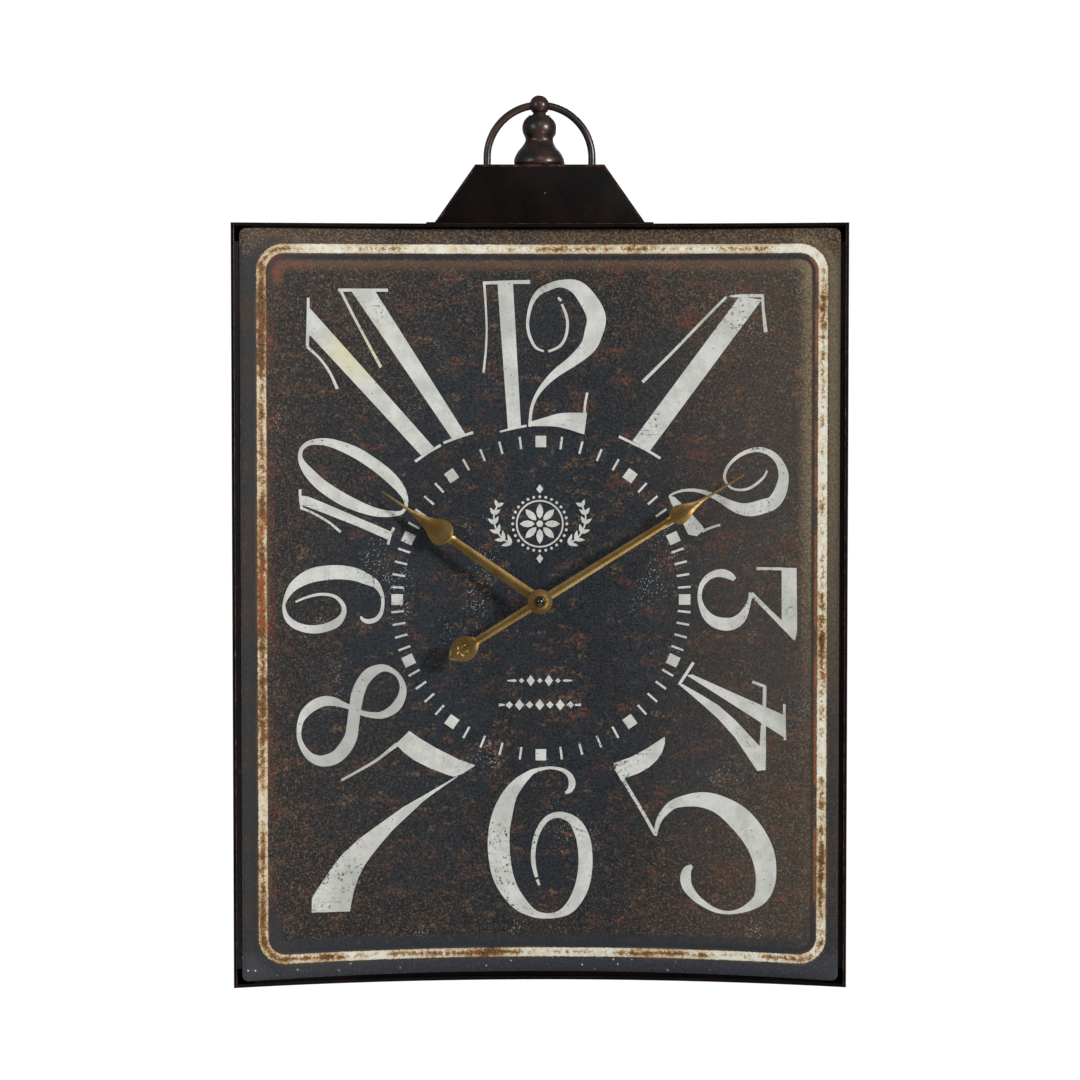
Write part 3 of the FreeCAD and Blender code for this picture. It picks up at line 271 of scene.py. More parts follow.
# %% The ground: a blue-black field that grows brown and grainy
def dial_ground(place):
    """Colour and grain of the printed field, without its band, with a painted sheen on the right
    and painted shade on the left.
    """
    across, _, z = axes(place)
    up = z - DIAL_MIDDLE_Z
    from_middle = length_of(across / DIAL_HALF_WIDTH, (z - SHAFT_Z) / DIAL_HALF_HEIGHT)
    clouds = noise(place, 60 * MM, 4.0)
    brownness = step(from_middle + clouds * 0.9, 0.95, 1.6)
    field = mix(brownness, ink(37, 44, 50), ink(47, 42, 39))
    field = mix(step(clouds, 0.46, 0.64) * 0.4, field, ink(38, 37, 38))

    grain = noise(place, 1.9 * MM, 3.0, 0.8)
    coarse = noise(place, 5.5 * MM, 3.0, 0.75)
    field = mix(step(coarse, 0.52, 0.62) * (brownness * 0.3 + 0.12), field, ink(78, 58, 46))
    field = mix(step(1 - grain, 0.5, 0.58) * 0.82, field, ink(18, 19, 22))
    field = mix(step(grain, 0.55, 0.64) * (brownness * 0.72 + 0.1), field, ink(124, 109, 94))
    # painted light: a sheen lightens the field towards the right and painted shade darkens it towards
    # the left
    field = mix(step(across, 40 * MM, 230 * MM) * 0.16, field, ink(124, 110, 98))
    field = mix(step(across, -60 * MM, -220 * MM) * 0.14, field, ink(20, 21, 24))

    spots = noise(stretched(place, 0.75, 1.0, 1.5), 24 * MM, 3.0, 0.7)
    speckle = step(noise(place, 2.8 * MM, 3.0, 0.8), 0.48, 0.58)
    field = mix(step(spots, 0.52, 0.62) * speckle * 0.65, field, ink(98, 66, 48))
    field = mix(step(spots, 0.62, 0.69) * speckle * 0.6, field, ink(108, 58, 48))
    other = noise(stretched(place, 1.0, 1.0, 1.7), 17 * MM, 3.0, 0.7)
    field = mix(step(other, 0.57, 0.66) * speckle * 0.6, field, ink(122, 94, 66))

    flecks = dots(stretched(place, 1.0, 0.0, 1.0), 2.3 * MM, 0.14, 0.26)
    drift = noise(stretched(place, 1.6, 1.0, 0.8), 70 * MM, 3.0)
    field = mix(flecks * step(drift, 0.57, 0.7) * 0.8, field, ink(180, 184, 184))
    return across, up, field, grain


# %% The margin outside the band, the stains and painted shade beside it and the band itself
def dial_colour(place):
    """Colour of the whole sheet, the share of it that is paint, and its grain."""
    across, up, field, grain = dial_ground(place)
    distance = band_distance(across, up)
    patches = noise(place, 46 * MM, 3.0)

    near_left = step(across, -BAND_HALF_X + 30 * MM, -BAND_HALF_X + 12 * MM)
    near_right = step(across, BAND_HALF_X - 30 * MM, BAND_HALF_X - 14 * MM)
    near_top = step(up, BAND_HALF_Z - 40 * MM, BAND_HALF_Z - 26 * MM)
    near_foot = step(up, -BAND_HALF_Z + 60 * MM, -BAND_HALF_Z + 26 * MM)

    # the margin: brown above, slate at the sides and blue-black with pale dots below;
    #     its right half is lighter with a painted sheen
    above = step(up, BAND_HALF_Z - 12 * MM, BAND_HALF_Z)
    below = step(up, -BAND_HALF_Z + 12 * MM, -BAND_HALF_Z)
    margin = mix(step(patches, 0.4, 0.62), ink(46, 47, 50), ink(58, 51, 47))
    # painted sheen that lightens the right half of the margin
    painted_sheen_right = step(across, 0.0, BAND_HALF_X) * step(up, -DIAL_HALF_HEIGHT, DIAL_HALF_HEIGHT)
    margin = mix(painted_sheen_right, margin, ink(76, 67, 60))
    margin = mix(above * step(patches, 0.3, 0.55), margin, ink(78, 64, 52))
    margin = mix(below * 0.85, margin, ink(55, 60, 68))
    margin = mix(step(1 - grain, 0.48, 0.58) * (above * 0.5 + 0.2), margin, ink(34, 30, 28))
    margin = mix(step(grain, 0.5, 0.64) * (above * 0.6 + 0.16), margin, ink(136, 112, 90))
    margin = mix(dots(place, 9 * MM, 0.06, 0.12) * below * 0.9, margin, ink(196, 198, 200))
    colour = mix(step(distance, BAND_HALF_WIDTH, BAND_HALF_WIDTH + 2 * MM), field, margin)

    # a printed shade inside the band, where the real pressed sheet would have a step
    shade = between(distance, -12, -8, -1, 0) * larger(near_top, near_foot)
    colour = mix(shade * 0.75, colour, ink(35, 39, 46))
    foot_shade = between(distance, -20, -15, -8, 0) * near_foot
    colour = mix(foot_shade * 0.7, colour, ink(43, 48, 54))
    top_glow = between(distance, -24, -12, -12, -9) * near_top
    colour = mix(top_glow * 0.4, colour, ink(112, 88, 70))

    # on the right a khaki bloom comes before the step, strongest in its upper half, and a thin line
    #     of painted shade lies along the step
    upper = step(up, -150 * MM, 150 * MM)
    bloom = near_right * between(distance, -25, -10.6, -10.6, -9.2)
    bloom = bloom * (step(grain, 0.36, 0.6) * 0.75 + 0.25)
    colour = mix(bloom * (upper * 0.5 + 0.08), colour, ink(150, 134, 104))
    # painted shade: a thin dark line along the step on the right
    line = near_right * seam_at(distance, -8.2, 1.8, 0.8)
    colour = mix(line * 0.6, colour, ink(54, 48, 44))
    beside = between(distance, 4.5, 6, 9, 16)
    rubbed = step(grain, 0.36, 0.6) * 0.4 + 0.15
    colour = mix(near_right * upper * beside * rubbed, colour, ink(132, 118, 90))
    colour = mix(near_left * beside * 0.5, colour, ink(36, 37, 39))

    # rust that crept out from under the band, on the left and at the top
    creep = near_left * between(distance, -16, -7, -3, -1) * step(patches, 0.36, 0.6)
    under_top = near_top * between(distance, -22, -15, -14, -10) * step(patches, 0.45, 0.6)
    creep = larger(creep, under_top)
    rust = mix(step(noise(place, 21 * MM, 3.0), 0.42, 0.6), ink(138, 62, 34), ink(112, 76, 40))
    corner = near_left * near_top
    colour = mix(creep * (corner * 0.4 + 0.22) * step(grain, 0.3, 0.5), colour, rust)
    seam = near_right * seam_at(distance, -5.4, 2.2, 0.8)
    seam = seam * step(grain, 0.3, 0.5) * (step(patches, 0.42, 0.56) * 0.65 + 0.05)
    colour = mix(seam, colour, ink(160, 92, 54))
    ring = seam_at(distance, 0, 7.0, 4.2)
    colour = mix(ring * step(patches, 0.35, 0.6) * 0.6, colour, ink(92, 74, 52))

    # the band: cream paint, flaked most along its middle, with ochre round each flake
    tatter = noise(place, 8 * MM, 4.0, 0.8)
    bite = noise(place, 2.4 * MM, 3.0, 0.8)
    stretch = noise(place, 70 * MM, 2.0)
    middle = 1 - step(abs(distance), 0.0, BAND_HALF_WIDTH)
    lost = tatter * 0.55 + bite * 0.45 + stretch * 0.55 + middle * 0.12
    lost = lost - near_top * 0.08 - (1 - near_left) * 0.05
    gone = step(lost, 0.84, 0.88)
    edge = abs(distance) + (bite - 0.5) * (2.4 * MM)
    band = 1 - step(edge, BAND_HALF_WIDTH - 0.5 * MM, BAND_HALF_WIDTH + 0.3 * MM)
    cream = mix(step(tatter, 0.4, 0.62), ink(222, 220, 208), ink(208, 196, 166))
    cream = mix((1 - middle) * step(stretch, 0.35, 0.6) * 0.7, cream, ink(172, 152, 104))
    cream = mix(near_left * 0.4, cream, ink(186, 152, 100))
    cream = mix(step(lost, 0.74, 0.84), cream, ink(158, 126, 82))
    under = mix(step(bite, 0.44, 0.56), ink(58, 47, 38), ink(120, 82, 52))
    under = mix(step(patches, 0.55, 0.64) * 0.7, under, ink(148, 72, 44))
    colour = mix(band, colour, mix(gone, cream, under))
    return colour, band * (1 - gone), grain


def dial_finish(place):
    colour, paint, grain = dial_colour(place)
    relief = paint * 0.6 + grain * 0.35
    return {
        "Base Color": colour,
        "Roughness": blend(step(grain, 0.35, 0.7), 0.42, 0.6),
        "Specular IOR Level": 0.15,
        "Normal": height(relief, 0.25 * MM, 0.5),
    }


# %% [markdown]
# ## The paint of the numerals
#
# The numerals are pale grey paint over that same ground. It has yellowed in one place, worn
# through in small pits, and been scratched level by handling. Where it is worn the ground shows,
# so the finish calls the ground's own rule and both meet without a seam.

# %% Worn pale paint
STAIN_X = -168 * MM
STAIN_Z = 228 * MM


def numeral_finish(place):
    across, up, field, grain = dial_ground(place)
    clouds = noise(place, 16 * MM, 4.0, 0.6)
    paint = mix(step(clouds, 0.35, 0.65), ink(202, 203, 198), ink(182, 183, 177))
    shaded = noise(place, 120 * MM, 2.0)
    paint = mix(step(shaded, 0.5, 0.68) * 0.5, paint, ink(140, 142, 138))
    paint = mix(step(noise(place, 1.6 * MM, 2.0), 0.52, 0.7) * 0.35, paint, ink(150, 148, 138))
    stain = length_of(across - STAIN_X, up + (DIAL_MIDDLE_Z - SHAFT_Z) - STAIN_Z)
    paint = mix((1 - step(stain, 8 * MM, 42 * MM)) * 0.5, paint, ink(205, 200, 140))

    worn = noise(place, 75 * MM, 2.0)
    pits = step(noise(place, 3.0 * MM, 3.0, 0.8), 0.57, 0.62) * step(worn, 0.52, 0.64)
    nicks = dots(place, 8 * MM, 0.06, 0.1) * 0.8
    streaks = step(noise(stretched(place, 1.0, 1.0, 26.0), 40 * MM, 2.0, 0.7), 0.66, 0.7)
    streaks = streaks * step(worn, 0.5, 0.62) * step(grain, 0.42, 0.5)
    bare = larger(pits, larger(nicks, streaks))
    return {
        "Base Color": mix(bare, paint, field),
        "Roughness": blend(bare, 0.5, 0.6),
        "Specular IOR Level": 0.2,
        "Normal": height(clouds * 0.3 + (1 - bare), 0.12 * MM, 0.5),
    }


# %% [markdown]
# ## Enamel, bronze and brass
#
# The case is dark bronze enamel over steel. It is nearly black, a little orange-peeled, and worn
# to red-brown on its edges, where the lighter edge colour is also a painted highlight. The crown
# is the same colour but turned and polished. The hands are pressed from gold-coloured sheet: a
# metal, so its colour is in its reflections and its grain runs along each hand.

# %% Case and crown
def enamel(place):
    clouds = noise(place, 38 * MM, 4.0)
    peel = noise(place, 2.2 * MM, 2.0, 0.6)
    colour = mix(step(clouds, 0.42, 0.66), ink(11, 9, 8), ink(21, 14, 12))
    chips = dots(place, 13 * MM, 0.03, 0.06) * step(clouds, 0.5, 0.62)
    colour = mix(chips * 0.8, colour, ink(168, 160, 148))
    return {
        "Base Color": colour,
        "Roughness": blend(step(peel, 0.3, 0.7), 0.3, 0.46),
        "Specular IOR Level": 0.07,
        "Normal": height(peel, 0.12 * MM, 0.35),
    }


# Edges rubbed through to red-brown with pale chips: wear, and a painted highlight along each edge.
def rubbed_edge_highlight(place):
    rub = noise(place, 9 * MM, 4.0, 0.7)
    bite = noise(place, 2.4 * MM, 3.0, 0.8)
    colour = mix(step(rub, 0.42, 0.64), ink(34, 25, 23), ink(104, 62, 52))
    colour = mix(step(bite, 0.58, 0.7) * step(rub, 0.5, 0.62), colour, ink(160, 146, 130))
    return {
        "Base Color": colour,
        "Specular IOR Level": 0.3,
        "Roughness": blend(step(bite, 0.4, 0.65), 0.34, 0.55),
        "Normal": height(bite, 0.1 * MM, 0.4),
    }


def turned_bronze(place):
    clouds = noise(place, 13 * MM, 4.0, 0.6)
    lines = noise(stretched(place, 0.15, 0.15, 9.0), 6 * MM, 2.0)
    colour = mix(step(clouds, 0.4, 0.62), ink(22, 20, 21), ink(62, 34, 24))
    return {
        "Base Color": colour,
        "Metallic": 0.3,
        "Roughness": blend(step(lines, 0.35, 0.65), 0.32, 0.42),
        "Coat Weight": 0.35,
        "Coat Roughness": 0.24,
        "Normal": height(lines, 0.05 * MM, 0.3),
    }


# %% Pressed brass and the black cap
def hand_gold(place):
    brushed = noise(place, 1.4 * MM, 3.0, 0.7)
    clouds = noise(place, 22 * MM, 3.0)
    colour = mix(step(clouds, 0.38, 0.66), ink(160, 132, 84), ink(136, 108, 60))
    return {
        "Base Color": mix(step(brushed, 0.5, 0.75) * 0.35, colour, ink(96, 74, 36)),
        "Metallic": 1.0,
        "Roughness": blend(step(brushed, 0.3, 0.7), 0.24, 0.36),
        "Normal": height(brushed, 0.03 * MM, 0.4),
    }


def black_gloss(place):
    clouds = noise(place, 3 * MM, 2.0)
    return {
        "Base Color": mix(step(clouds, 0.4, 0.7), ink(7, 7, 8), ink(18, 17, 17)),
        "Roughness": blend(step(clouds, 0.3, 0.7), 0.08, 0.16),
        "Coat Weight": 0.6,
    }


# %% [markdown]
# ## The plainer finishes inside and behind
#
# Zinc plate has large faint crystals, iron strip is rolled, moulded plastic is sparked to a fine
# texture, hardboard is pressed fibre. Each is one noise or two at the size of the real grain.

# %% Metals
def metal(base, shade, size, low, high, stretch=(1.0, 1.0, 1.0)):
    """A recipe for a bare metal whose grain of that size mixes two colours and two roughnesses."""
    def recipe(place):
        grain = noise(stretched(place, *stretch), size, 3.0, 0.65)
        share = step(grain, 0.36, 0.66)
        return {
            "Base Color": mix(share, base, shade),
            "Metallic": 1.0,
            "Roughness": blend(share, low, high),
            "Normal": height(grain, 0.02 * MM, 0.4),
        }
    return recipe


def moulded(base, shade, size, rough, depth):
    """A recipe for a moulded or pressed material with a fine grain that stands depth metres."""
    def recipe(place):
        grain = noise(place, size, 3.0, 0.7)
        clouds = noise(place, size * 22, 3.0)
        return {
            "Base Color": mix(step(grain + clouds * 0.5, 0.55, 0.95), base, shade),
            "Roughness": blend(step(grain, 0.3, 0.7), rough, rough + 0.14),
            "Normal": height(grain, depth, 0.5),
        }
    return recipe


def hardboard(place):
    fibre = noise(stretched(place, 1.0, 1.0, 2.6), 3.2 * MM, 4.0, 0.8)
    clouds = noise(place, 90 * MM, 3.0)
    colour = mix(step(clouds, 0.35, 0.65), ink(92, 66, 44), ink(74, 52, 36))
    colour = mix(step(fibre, 0.5, 0.7) * 0.6, colour, ink(132, 100, 68))
    colour = mix(step(1 - fibre, 0.56, 0.72) * 0.5, colour, ink(48, 34, 24))
    return {
        "Base Color": colour,
        "Roughness": blend(step(fibre, 0.35, 0.7), 0.55, 0.75),
        "Normal": height(fibre, 0.12 * MM, 0.5),
    }


# %% The cell's printed jacket
cell_low, cell_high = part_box("battery")
CELL_BAND = cell_low.x + (cell_high.x - cell_low.x) * 0.68


def cell_jacket(place):
    """A black jacket with a copper-coloured end, bare metal at both ends and no lettering."""
    across, _, _ = axes(place)
    grain = noise(place, 1.1 * MM, 2.0)
    copper = step(across, CELL_BAND, CELL_BAND + 0.2 * MM)
    ends = larger(1 - step(across, cell_low.x + 0.4 * MM, cell_low.x + 0.6 * MM),
                  step(across, cell_high.x - 1.9 * MM, cell_high.x - 1.7 * MM))
    colour = mix(copper, ink(24, 25, 28), ink(176, 110, 62))
    line = step(abs(across - (CELL_BAND - 1.2 * MM)), 0.45 * MM, 0.3 * MM)
    colour = mix(line, colour, ink(206, 203, 196))
    colour = mix(ends, colour, ink(188, 188, 186))
    return {
        "Base Color": mix(step(grain, 0.5, 0.8) * 0.25, colour, ink(60, 58, 56)),
        "Metallic": larger(copper * 0.8, ends),
        "Roughness": blend(step(grain, 0.3, 0.7), 0.24, 0.34),
    }


# %% Every slot of the record gets its finish
RECIPES = {
    "case_enamel": enamel,
    "dial_print": dial_finish,
    "back_board": hardboard,
    "zinc_steel": metal(ink(158, 160, 159), ink(122, 124, 123), 5 * MM, 0.34, 0.5),
    "turned_bronze": turned_bronze,
    "hand_gold": hand_gold,
    "black_nut": black_gloss,
    "movement_black": moulded(ink(30, 30, 31), ink(42, 42, 43), 0.5 * MM, 0.42, 0.05 * MM),
    "brass": metal(ink(206, 172, 96), ink(170, 132, 66), 1.2 * MM, 0.22, 0.36),
    "gear_white": moulded(ink(232, 229, 216), ink(214, 208, 190), 0.8 * MM, 0.34, 0.01 * MM),
    "knob_black": moulded(ink(26, 26, 27), ink(40, 40, 41), 0.4 * MM, 0.5, 0.04 * MM),
    "magnet_grey": moulded(ink(70, 70, 72), ink(92, 92, 94), 0.3 * MM, 0.5, 0.02 * MM),
    "iron_strip": metal(ink(160, 160, 158), ink(126, 124, 120), 2.4 * MM, 0.32, 0.5, (1.0, 1.0, 0.2)),
    "copper_wire": metal(ink(196, 104, 56), ink(158, 74, 38), 1.5 * MM, 0.24, 0.34),
    "board_green": moulded(ink(24, 74, 42), ink(36, 98, 56), 0.9 * MM, 0.3, 0.02 * MM),
    "tin_can": metal(ink(214, 214, 212), ink(186, 186, 184), 2 * MM, 0.14, 0.24),
    "nickel_strip": metal(ink(206, 204, 198), ink(176, 172, 164), 1.6 * MM, 0.2, 0.34),
    "cell_label": cell_jacket,
    "rubber_black": moulded(ink(22, 22, 22), ink(34, 33, 32), 0.7 * MM, 0.7, 0.04 * MM),
}
FINISHES = {name: finish(name, recipe) for name, recipe in RECIPES.items()}
NUMERAL_PAINT = finish("numeral_paint", numeral_finish)
# the edge finish is wear and a painted highlight
RUBBED_EDGE_HIGHLIGHT = finish("rubbed_edge_highlight", rubbed_edge_highlight)
for part in frame["record"]["subparts"]:
    mesh = frame["nodes"][part["node"]].data
    mesh.materials.clear()
    mesh.materials.append(FINISHES[part["material_slot"]])
print(len(FINISHES), "finishes on", len(frame["nodes"]), "nodes")

# %% [markdown]
# ## Helpers that make and place a piece
#
# Every new piece goes the same way: a mesh, its shading, its material, the body that it rides on,
# the slot that it takes its finish from and the nodes that it stands for. One function does that
# so that no piece can be left behind when a joint moves.

# %% Place a finished mesh
SMOOTH_UNDER = math.radians(32)


def placed(name, mesh, body, slot, stands_for=(), material=None):
    """Makes an object of the mesh and lets it ride on its body."""
    mesh.name = name
    if material or not mesh.materials:
        mesh.materials.clear()
        mesh.materials.append(material or FINISHES[slot])
    mesh.shade_smooth()
    mesh.set_sharp_from_angle(angle=SMOOTH_UNDER)
    piece = bpy.data.objects.new(name, mesh)
    scene.collection.objects.link(piece)
    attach(piece, body)
    if stands_for:
        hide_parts(*stands_for)
    print(f"{name}: {len(mesh.polygons)} faces")
    return piece


def baked(mesh, modifiers=(), tree=None, inputs=None):
    """The mesh that these modifiers, or this geometry tree with its inputs, make of a mesh."""
    carrier = bpy.data.objects.new("carrier", mesh)
    scene.collection.objects.link(carrier)
    for kind, settings in modifiers:
        modifier = carrier.modifiers.new(kind.lower(), kind)
        for key, value in settings.items():
            setattr(modifier, key, value)
    if tree:
        modifier = carrier.modifiers.new("tree", "NODES")
        modifier.node_group = tree
        sockets = {item.name: item.identifier for item in tree.interface.items_tree
                   if item.item_type == "SOCKET" and item.in_out == "INPUT"}
        for label, value in (inputs or {}).items():
            modifier[sockets[label]] = value
    graph = bpy.context.evaluated_depsgraph_get()
    result = bpy.data.meshes.new_from_object(carrier.evaluated_get(graph))
    bpy.data.objects.remove(carrier)
    return result


def mesh_of(shape):
    """A mesh from a bmesh, which is freed."""
    made = bpy.data.meshes.new("shape")
    shape.to_mesh(made)
    shape.free()
    return made


def smooth_line(points, steps, closed=False):
    """A smooth line through the points, with that many short steps from each to the next."""
    count = len(points)
    spans = count if closed else count - 1
    line = []
    for i in range(spans):
        around = [points[(i + k) % count] if closed else points[min(max(i + k, 0), count - 1)]
                  for k in (-1, 0, 1, 2)]
        for s in range(steps):
            t = s / steps
            weights = (-0.5 * t + t * t - 0.5 * t ** 3, 1 - 2.5 * t * t + 1.5 * t ** 3,
                       0.5 * t + 2 * t * t - 1.5 * t ** 3, -0.5 * t * t + 0.5 * t ** 3)
            line.append(tuple(sum(w * p[axis] for w, p in zip(weights, around))
                              for axis in range(len(points[0]))))
    return line if closed else line + [tuple(points[-1])]


# %% [markdown]
# ## The dial sheet
#
# The real dial is a flat blank with round corners that is rolled to one radius. The mesh is made
# the same way: a flat outline with the shaft's hole, sliced into upright strips, then each point
# pushed onto the cylinder. Solidify gives it its thickness and Bevel a small rolled edge, which
# catches the light.

# %% Roll a flat shape onto the dial
STRIP = 8 * MM


def sliced(shape):
    """Cuts a flat shape into upright strips, so that it can bend."""
    places = [vertex.co.x for vertex in shape.verts]
    for k in range(math.ceil(min(places) / STRIP), math.floor(max(places) / STRIP) + 1):
        bmesh.ops.bisect_plane(shape, geom=shape.verts[:] + shape.edges[:] + shape.faces[:],
                               dist=1e-7, plane_co=(k * STRIP, 0, 0), plane_no=(1, 0, 0))
    return shape


def arc(centre_x, centre_z, radius, start, end, count):
    """Points along an arc, from the angle start to the angle end, in degrees."""
    angles = [math.radians(start + (end - start) * k / count) for k in range(count + 1)]
    return [(centre_x + radius * math.cos(a), centre_z + radius * math.sin(a)) for a in angles]


# %% The rolled sheet
PANEL_CORNER = 6 * MM
SHAFT_HOLE = 4.2 * MM
SHEET_EDGE = 0.3 * MM

outline = []
for quarter, (side, end) in enumerate(((1, 1), (-1, 1), (-1, -1), (1, -1))):
    outline += arc(side * (DIAL_HALF_WIDTH - PANEL_CORNER),
                   DIAL_MIDDLE_Z + end * (DIAL_HALF_HEIGHT - PANEL_CORNER),
                   PANEL_CORNER, quarter * 90, quarter * 90 + 90, 8)
panel = bmesh.new()
for loop in (outline, arc(0, SHAFT_Z, SHAFT_HOLE, 0, 360, 40)[:-1]):
    corners = [panel.verts.new((x, 0, z)) for x, z in loop]
    for first, second in zip(corners, corners[1:] + corners[:1]):
        panel.edges.new((first, second))
bmesh.ops.triangle_fill(panel, use_beauty=True, edges=panel.edges[:], normal=(0, -1, 0))
sliced(panel)
for vertex in panel.verts:
    vertex.co.y = dial_front(vertex.co.x)
bmesh.ops.recalc_face_normals(panel, faces=panel.faces[:])
if sum(face.normal.y for face in panel.faces) > 0:
    bmesh.ops.reverse_faces(panel, faces=panel.faces[:])
dial_sheet = baked(mesh_of(panel), (
    ("SOLIDIFY", {"thickness": DIAL_SHEET, "offset": -1.0, "use_even_offset": True}),
    ("BEVEL", {"width": SHEET_EDGE, "segments": 2, "limit_method": "ANGLE",
               "angle_limit": math.radians(50)}),
))
placed("dial_sheet", dial_sheet, "case", "dial_print", ("dial_panel",))

# %% [markdown]
# ## Strokes of paint
#
# A display numeral has thick and thin strokes. Each is drawn as a pen draws it: a smooth line
# whose width changes on the way, so a stroke is a list of (right, up, width) in millimetres from
# the numeral's centre. Slabs with straight sides are plain outlines. Strokes overlap, and
# overlapping faces flicker, so a geometry tree joins each numeral into one skin before it is
# rolled onto the dial.

# %% Strokes and slabs as flat solids
MERGE = 2e-6
FLAT_HALF = 0.5 * MM
PAINT_PROUD = 0.12 * MM
PAINT_SUNK = 0.02 * MM
STROKE_STEPS = 5


def skinned(shape, rows, row_closes, last_meets_first):
    """Faces between each row of points and the next."""
    for i in range(len(rows) if last_meets_first else len(rows) - 1):
        here, there = rows[i], rows[(i + 1) % len(rows)]
        for k in range(len(here) if row_closes else len(here) - 1):
            j = (k + 1) % len(here)
            shape.faces.new((here[k], here[j], there[j], there[k]))


def stroke(shape, points, closed=False):
    """A pen stroke: the line swells and thins with the width that each of its points gives."""
    line = smooth_line(points, STROKE_STEPS, closed)
    count = len(line)
    sections = []
    for i, (x, z, width) in enumerate(line):
        before = line[i - 1] if closed or i else line[i]
        after = line[(i + 1) % count] if closed or i + 1 < count else line[i]
        along = Vector((after[0] - before[0], after[1] - before[1])).normalized()
        reach = Vector((-along.y, along.x)) * (width / 2)
        edges = ((x + reach.x, z + reach.y), (x - reach.x, z - reach.y))
        near, near_back, far, far_back = [shape.verts.new((edge_x, depth, edge_z))
                                          for edge_x, edge_z in edges
                                          for depth in (-FLAT_HALF, FLAT_HALF)]
        sections.append((near, near_back, far_back, far))
    skinned(shape, sections, True, closed)
    if not closed:
        near, near_back, far_back, far = sections[0]
        shape.faces.new((near, far, far_back, near_back))
        shape.faces.new(sections[-1])


def slab(shape, corners):
    """A flat solid with straight sides."""
    front = [shape.verts.new((x, -FLAT_HALF, z)) for x, z in corners]
    back = [shape.verts.new((x, FLAT_HALF, z)) for x, z in corners]
    shape.faces.new(front)
    shape.faces.new(back[::-1])
    for i in range(len(corners)):
        j = (i + 1) % len(corners)
        shape.faces.new((front[j], front[i], back[i], back[j]))


# %% The tree that joins overlapping strokes
def geometry_tree(name, inputs):
    """A new geometry tree with named inputs, and the wires that come out of its input node."""
    tree = bpy.data.node_groups.new(name, "GeometryNodeTree")
    tree.interface.new_socket("Geometry", in_out="OUTPUT", socket_type="NodeSocketGeometry")
    tree.interface.new_socket("Geometry", in_out="INPUT", socket_type="NodeSocketGeometry")
    for label, kind in inputs.items():
        tree.interface.new_socket(label, in_out="INPUT", socket_type=kind)
    source = tree.nodes.new("NodeGroupInput")
    wires = {socket.name: Wire(tree, socket) for socket in source.outputs if socket.name}
    return tree, wires


def close_tree(tree, geometry, material):
    """Ends a tree: real geometry with its material."""
    real = geometry.node("GeometryNodeRealizeInstances", None, {0: geometry})
    dressed = real.node("GeometryNodeSetMaterial", None, {0: real, "Material": material})
    target = tree.nodes.new("NodeGroupOutput")
    tree.links.new(dressed.socket, target.inputs[0])
    return tree


one_skin, wires = geometry_tree("one_skin", {"Material": "NodeSocketMaterial"})
joined = wires["Geometry"].node("GeometryNodeMeshBoolean",
                                {"operation": "UNION", "solver": "EXACT"},
                                {"Self Intersection": True})
one_skin.links.new(wires["Geometry"].socket, joined.socket.node.inputs[1])
close_tree(one_skin, joined, wires["Material"])


def printed(name, flat):
    """Rolls a flat print onto the dial and places it."""
    shape = bmesh.new()
    shape.from_mesh(flat)
    bmesh.ops.remove_doubles(shape, verts=shape.verts[:], dist=MERGE)
    sliced(shape)
    for vertex in shape.verts:
        lift = PAINT_PROUD if vertex.co.y < 0 else -PAINT_SUNK
        vertex.co.y = dial_front(vertex.co.x) - lift
    mesh = mesh_of(shape)
    return placed(name, mesh, "case", "dial_print", material=NUMERAL_PAINT)


def drawn(name, strokes, slabs, centre=(0.0, 0.0), rings=()):
    """A numeral or ornament from its strokes and slabs, in millimetres from the shaft."""
    shape = bmesh.new()

    def move(point):
        return ((point[0] + centre[0]) * MM, (point[1] + centre[1]) * MM + SHAFT_Z,
                *(w * MM for w in point[2:]))

    for points in strokes:
        stroke(shape, [move(p) for p in points])
    for points in rings:
        stroke(shape, [move(p) for p in points], closed=True)
    for corners in slabs:
        slab(shape, [move(p) for p in corners])
    bmesh.ops.recalc_face_normals(shape, faces=shape.faces[:])
    return printed(name, baked(mesh_of(shape), tree=one_skin, inputs={"Material": NUMERAL_PAINT}))


# %% [markdown]
# ## The twelve numerals
#
# They are old-style display figures, stretched towards the corners so that they fill the tall
# dial. Each leans along its own ray from the shaft. The hairlines are straight strokes and the
# bowls are lines that swell from a hair to a broad curve.

# %% Twelve, one and two
drawn("numeral_12", centre=(5.7, 224.4), slabs=[
    [(-44.5, 65.5), (-30.3, 65.5), (-23, -66), (-35, -68.5)],
], strokes=[
    [(-58, 66, 2.8), (-36, 66.8, 3.2), (-14.5, 67.1, 3.6)],
    [(-56.7, 66, 2.4), (-55.3, 45, 1.9), (-54.5, 25, 1.8), (-55.2, 5, 1.9), (-57.4, -16, 2.2)],
    [(-42.5, -70.5, 1.6), (-30, -67.5, 2), (-18, -65, 2.2)],
    [(-2, 3.4, 1.8), (-10, 7.5, 2.4), (-15.5, 19, 2.8), (-16.8, 31, 2.8), (-13.8, 46, 3.6),
     (-8, 56, 5), (0, 61.3, 6.2), (14.5, 65.5, 7), (31, 60, 14), (45.7, 37, 17.5),
     (43.3, 19, 16.5), (38, 7, 14), (24.5, -5.5, 10), (10, -16, 7.6), (0, -25.5, 5.4),
     (-8, -36, 3.6), (-13, -48, 3), (-14.6, -60, 2.8), (-14.9, -66, 2.6)],
    [(-15, -63.5, 4), (0, -61.3, 8.2), (12, -60, 12.6), (24, -61, 16.2), (33, -62.5, 19),
     (36.5, -63, 20)],
    [(35.5, -53, 2.4), (36, -45, 2.2), (38, -34.5, 2.2)],
    [(11, 52.8, 2.2), (14, 49.7, 2.6)],
    [(14.5, 46.8, 2.2), (18.5, 37, 2.6), (19.8, 28, 2.6), (18, 16.5, 2.6), (12.5, 8, 2.6),
     (2.2, 3.2, 2.2)],
])
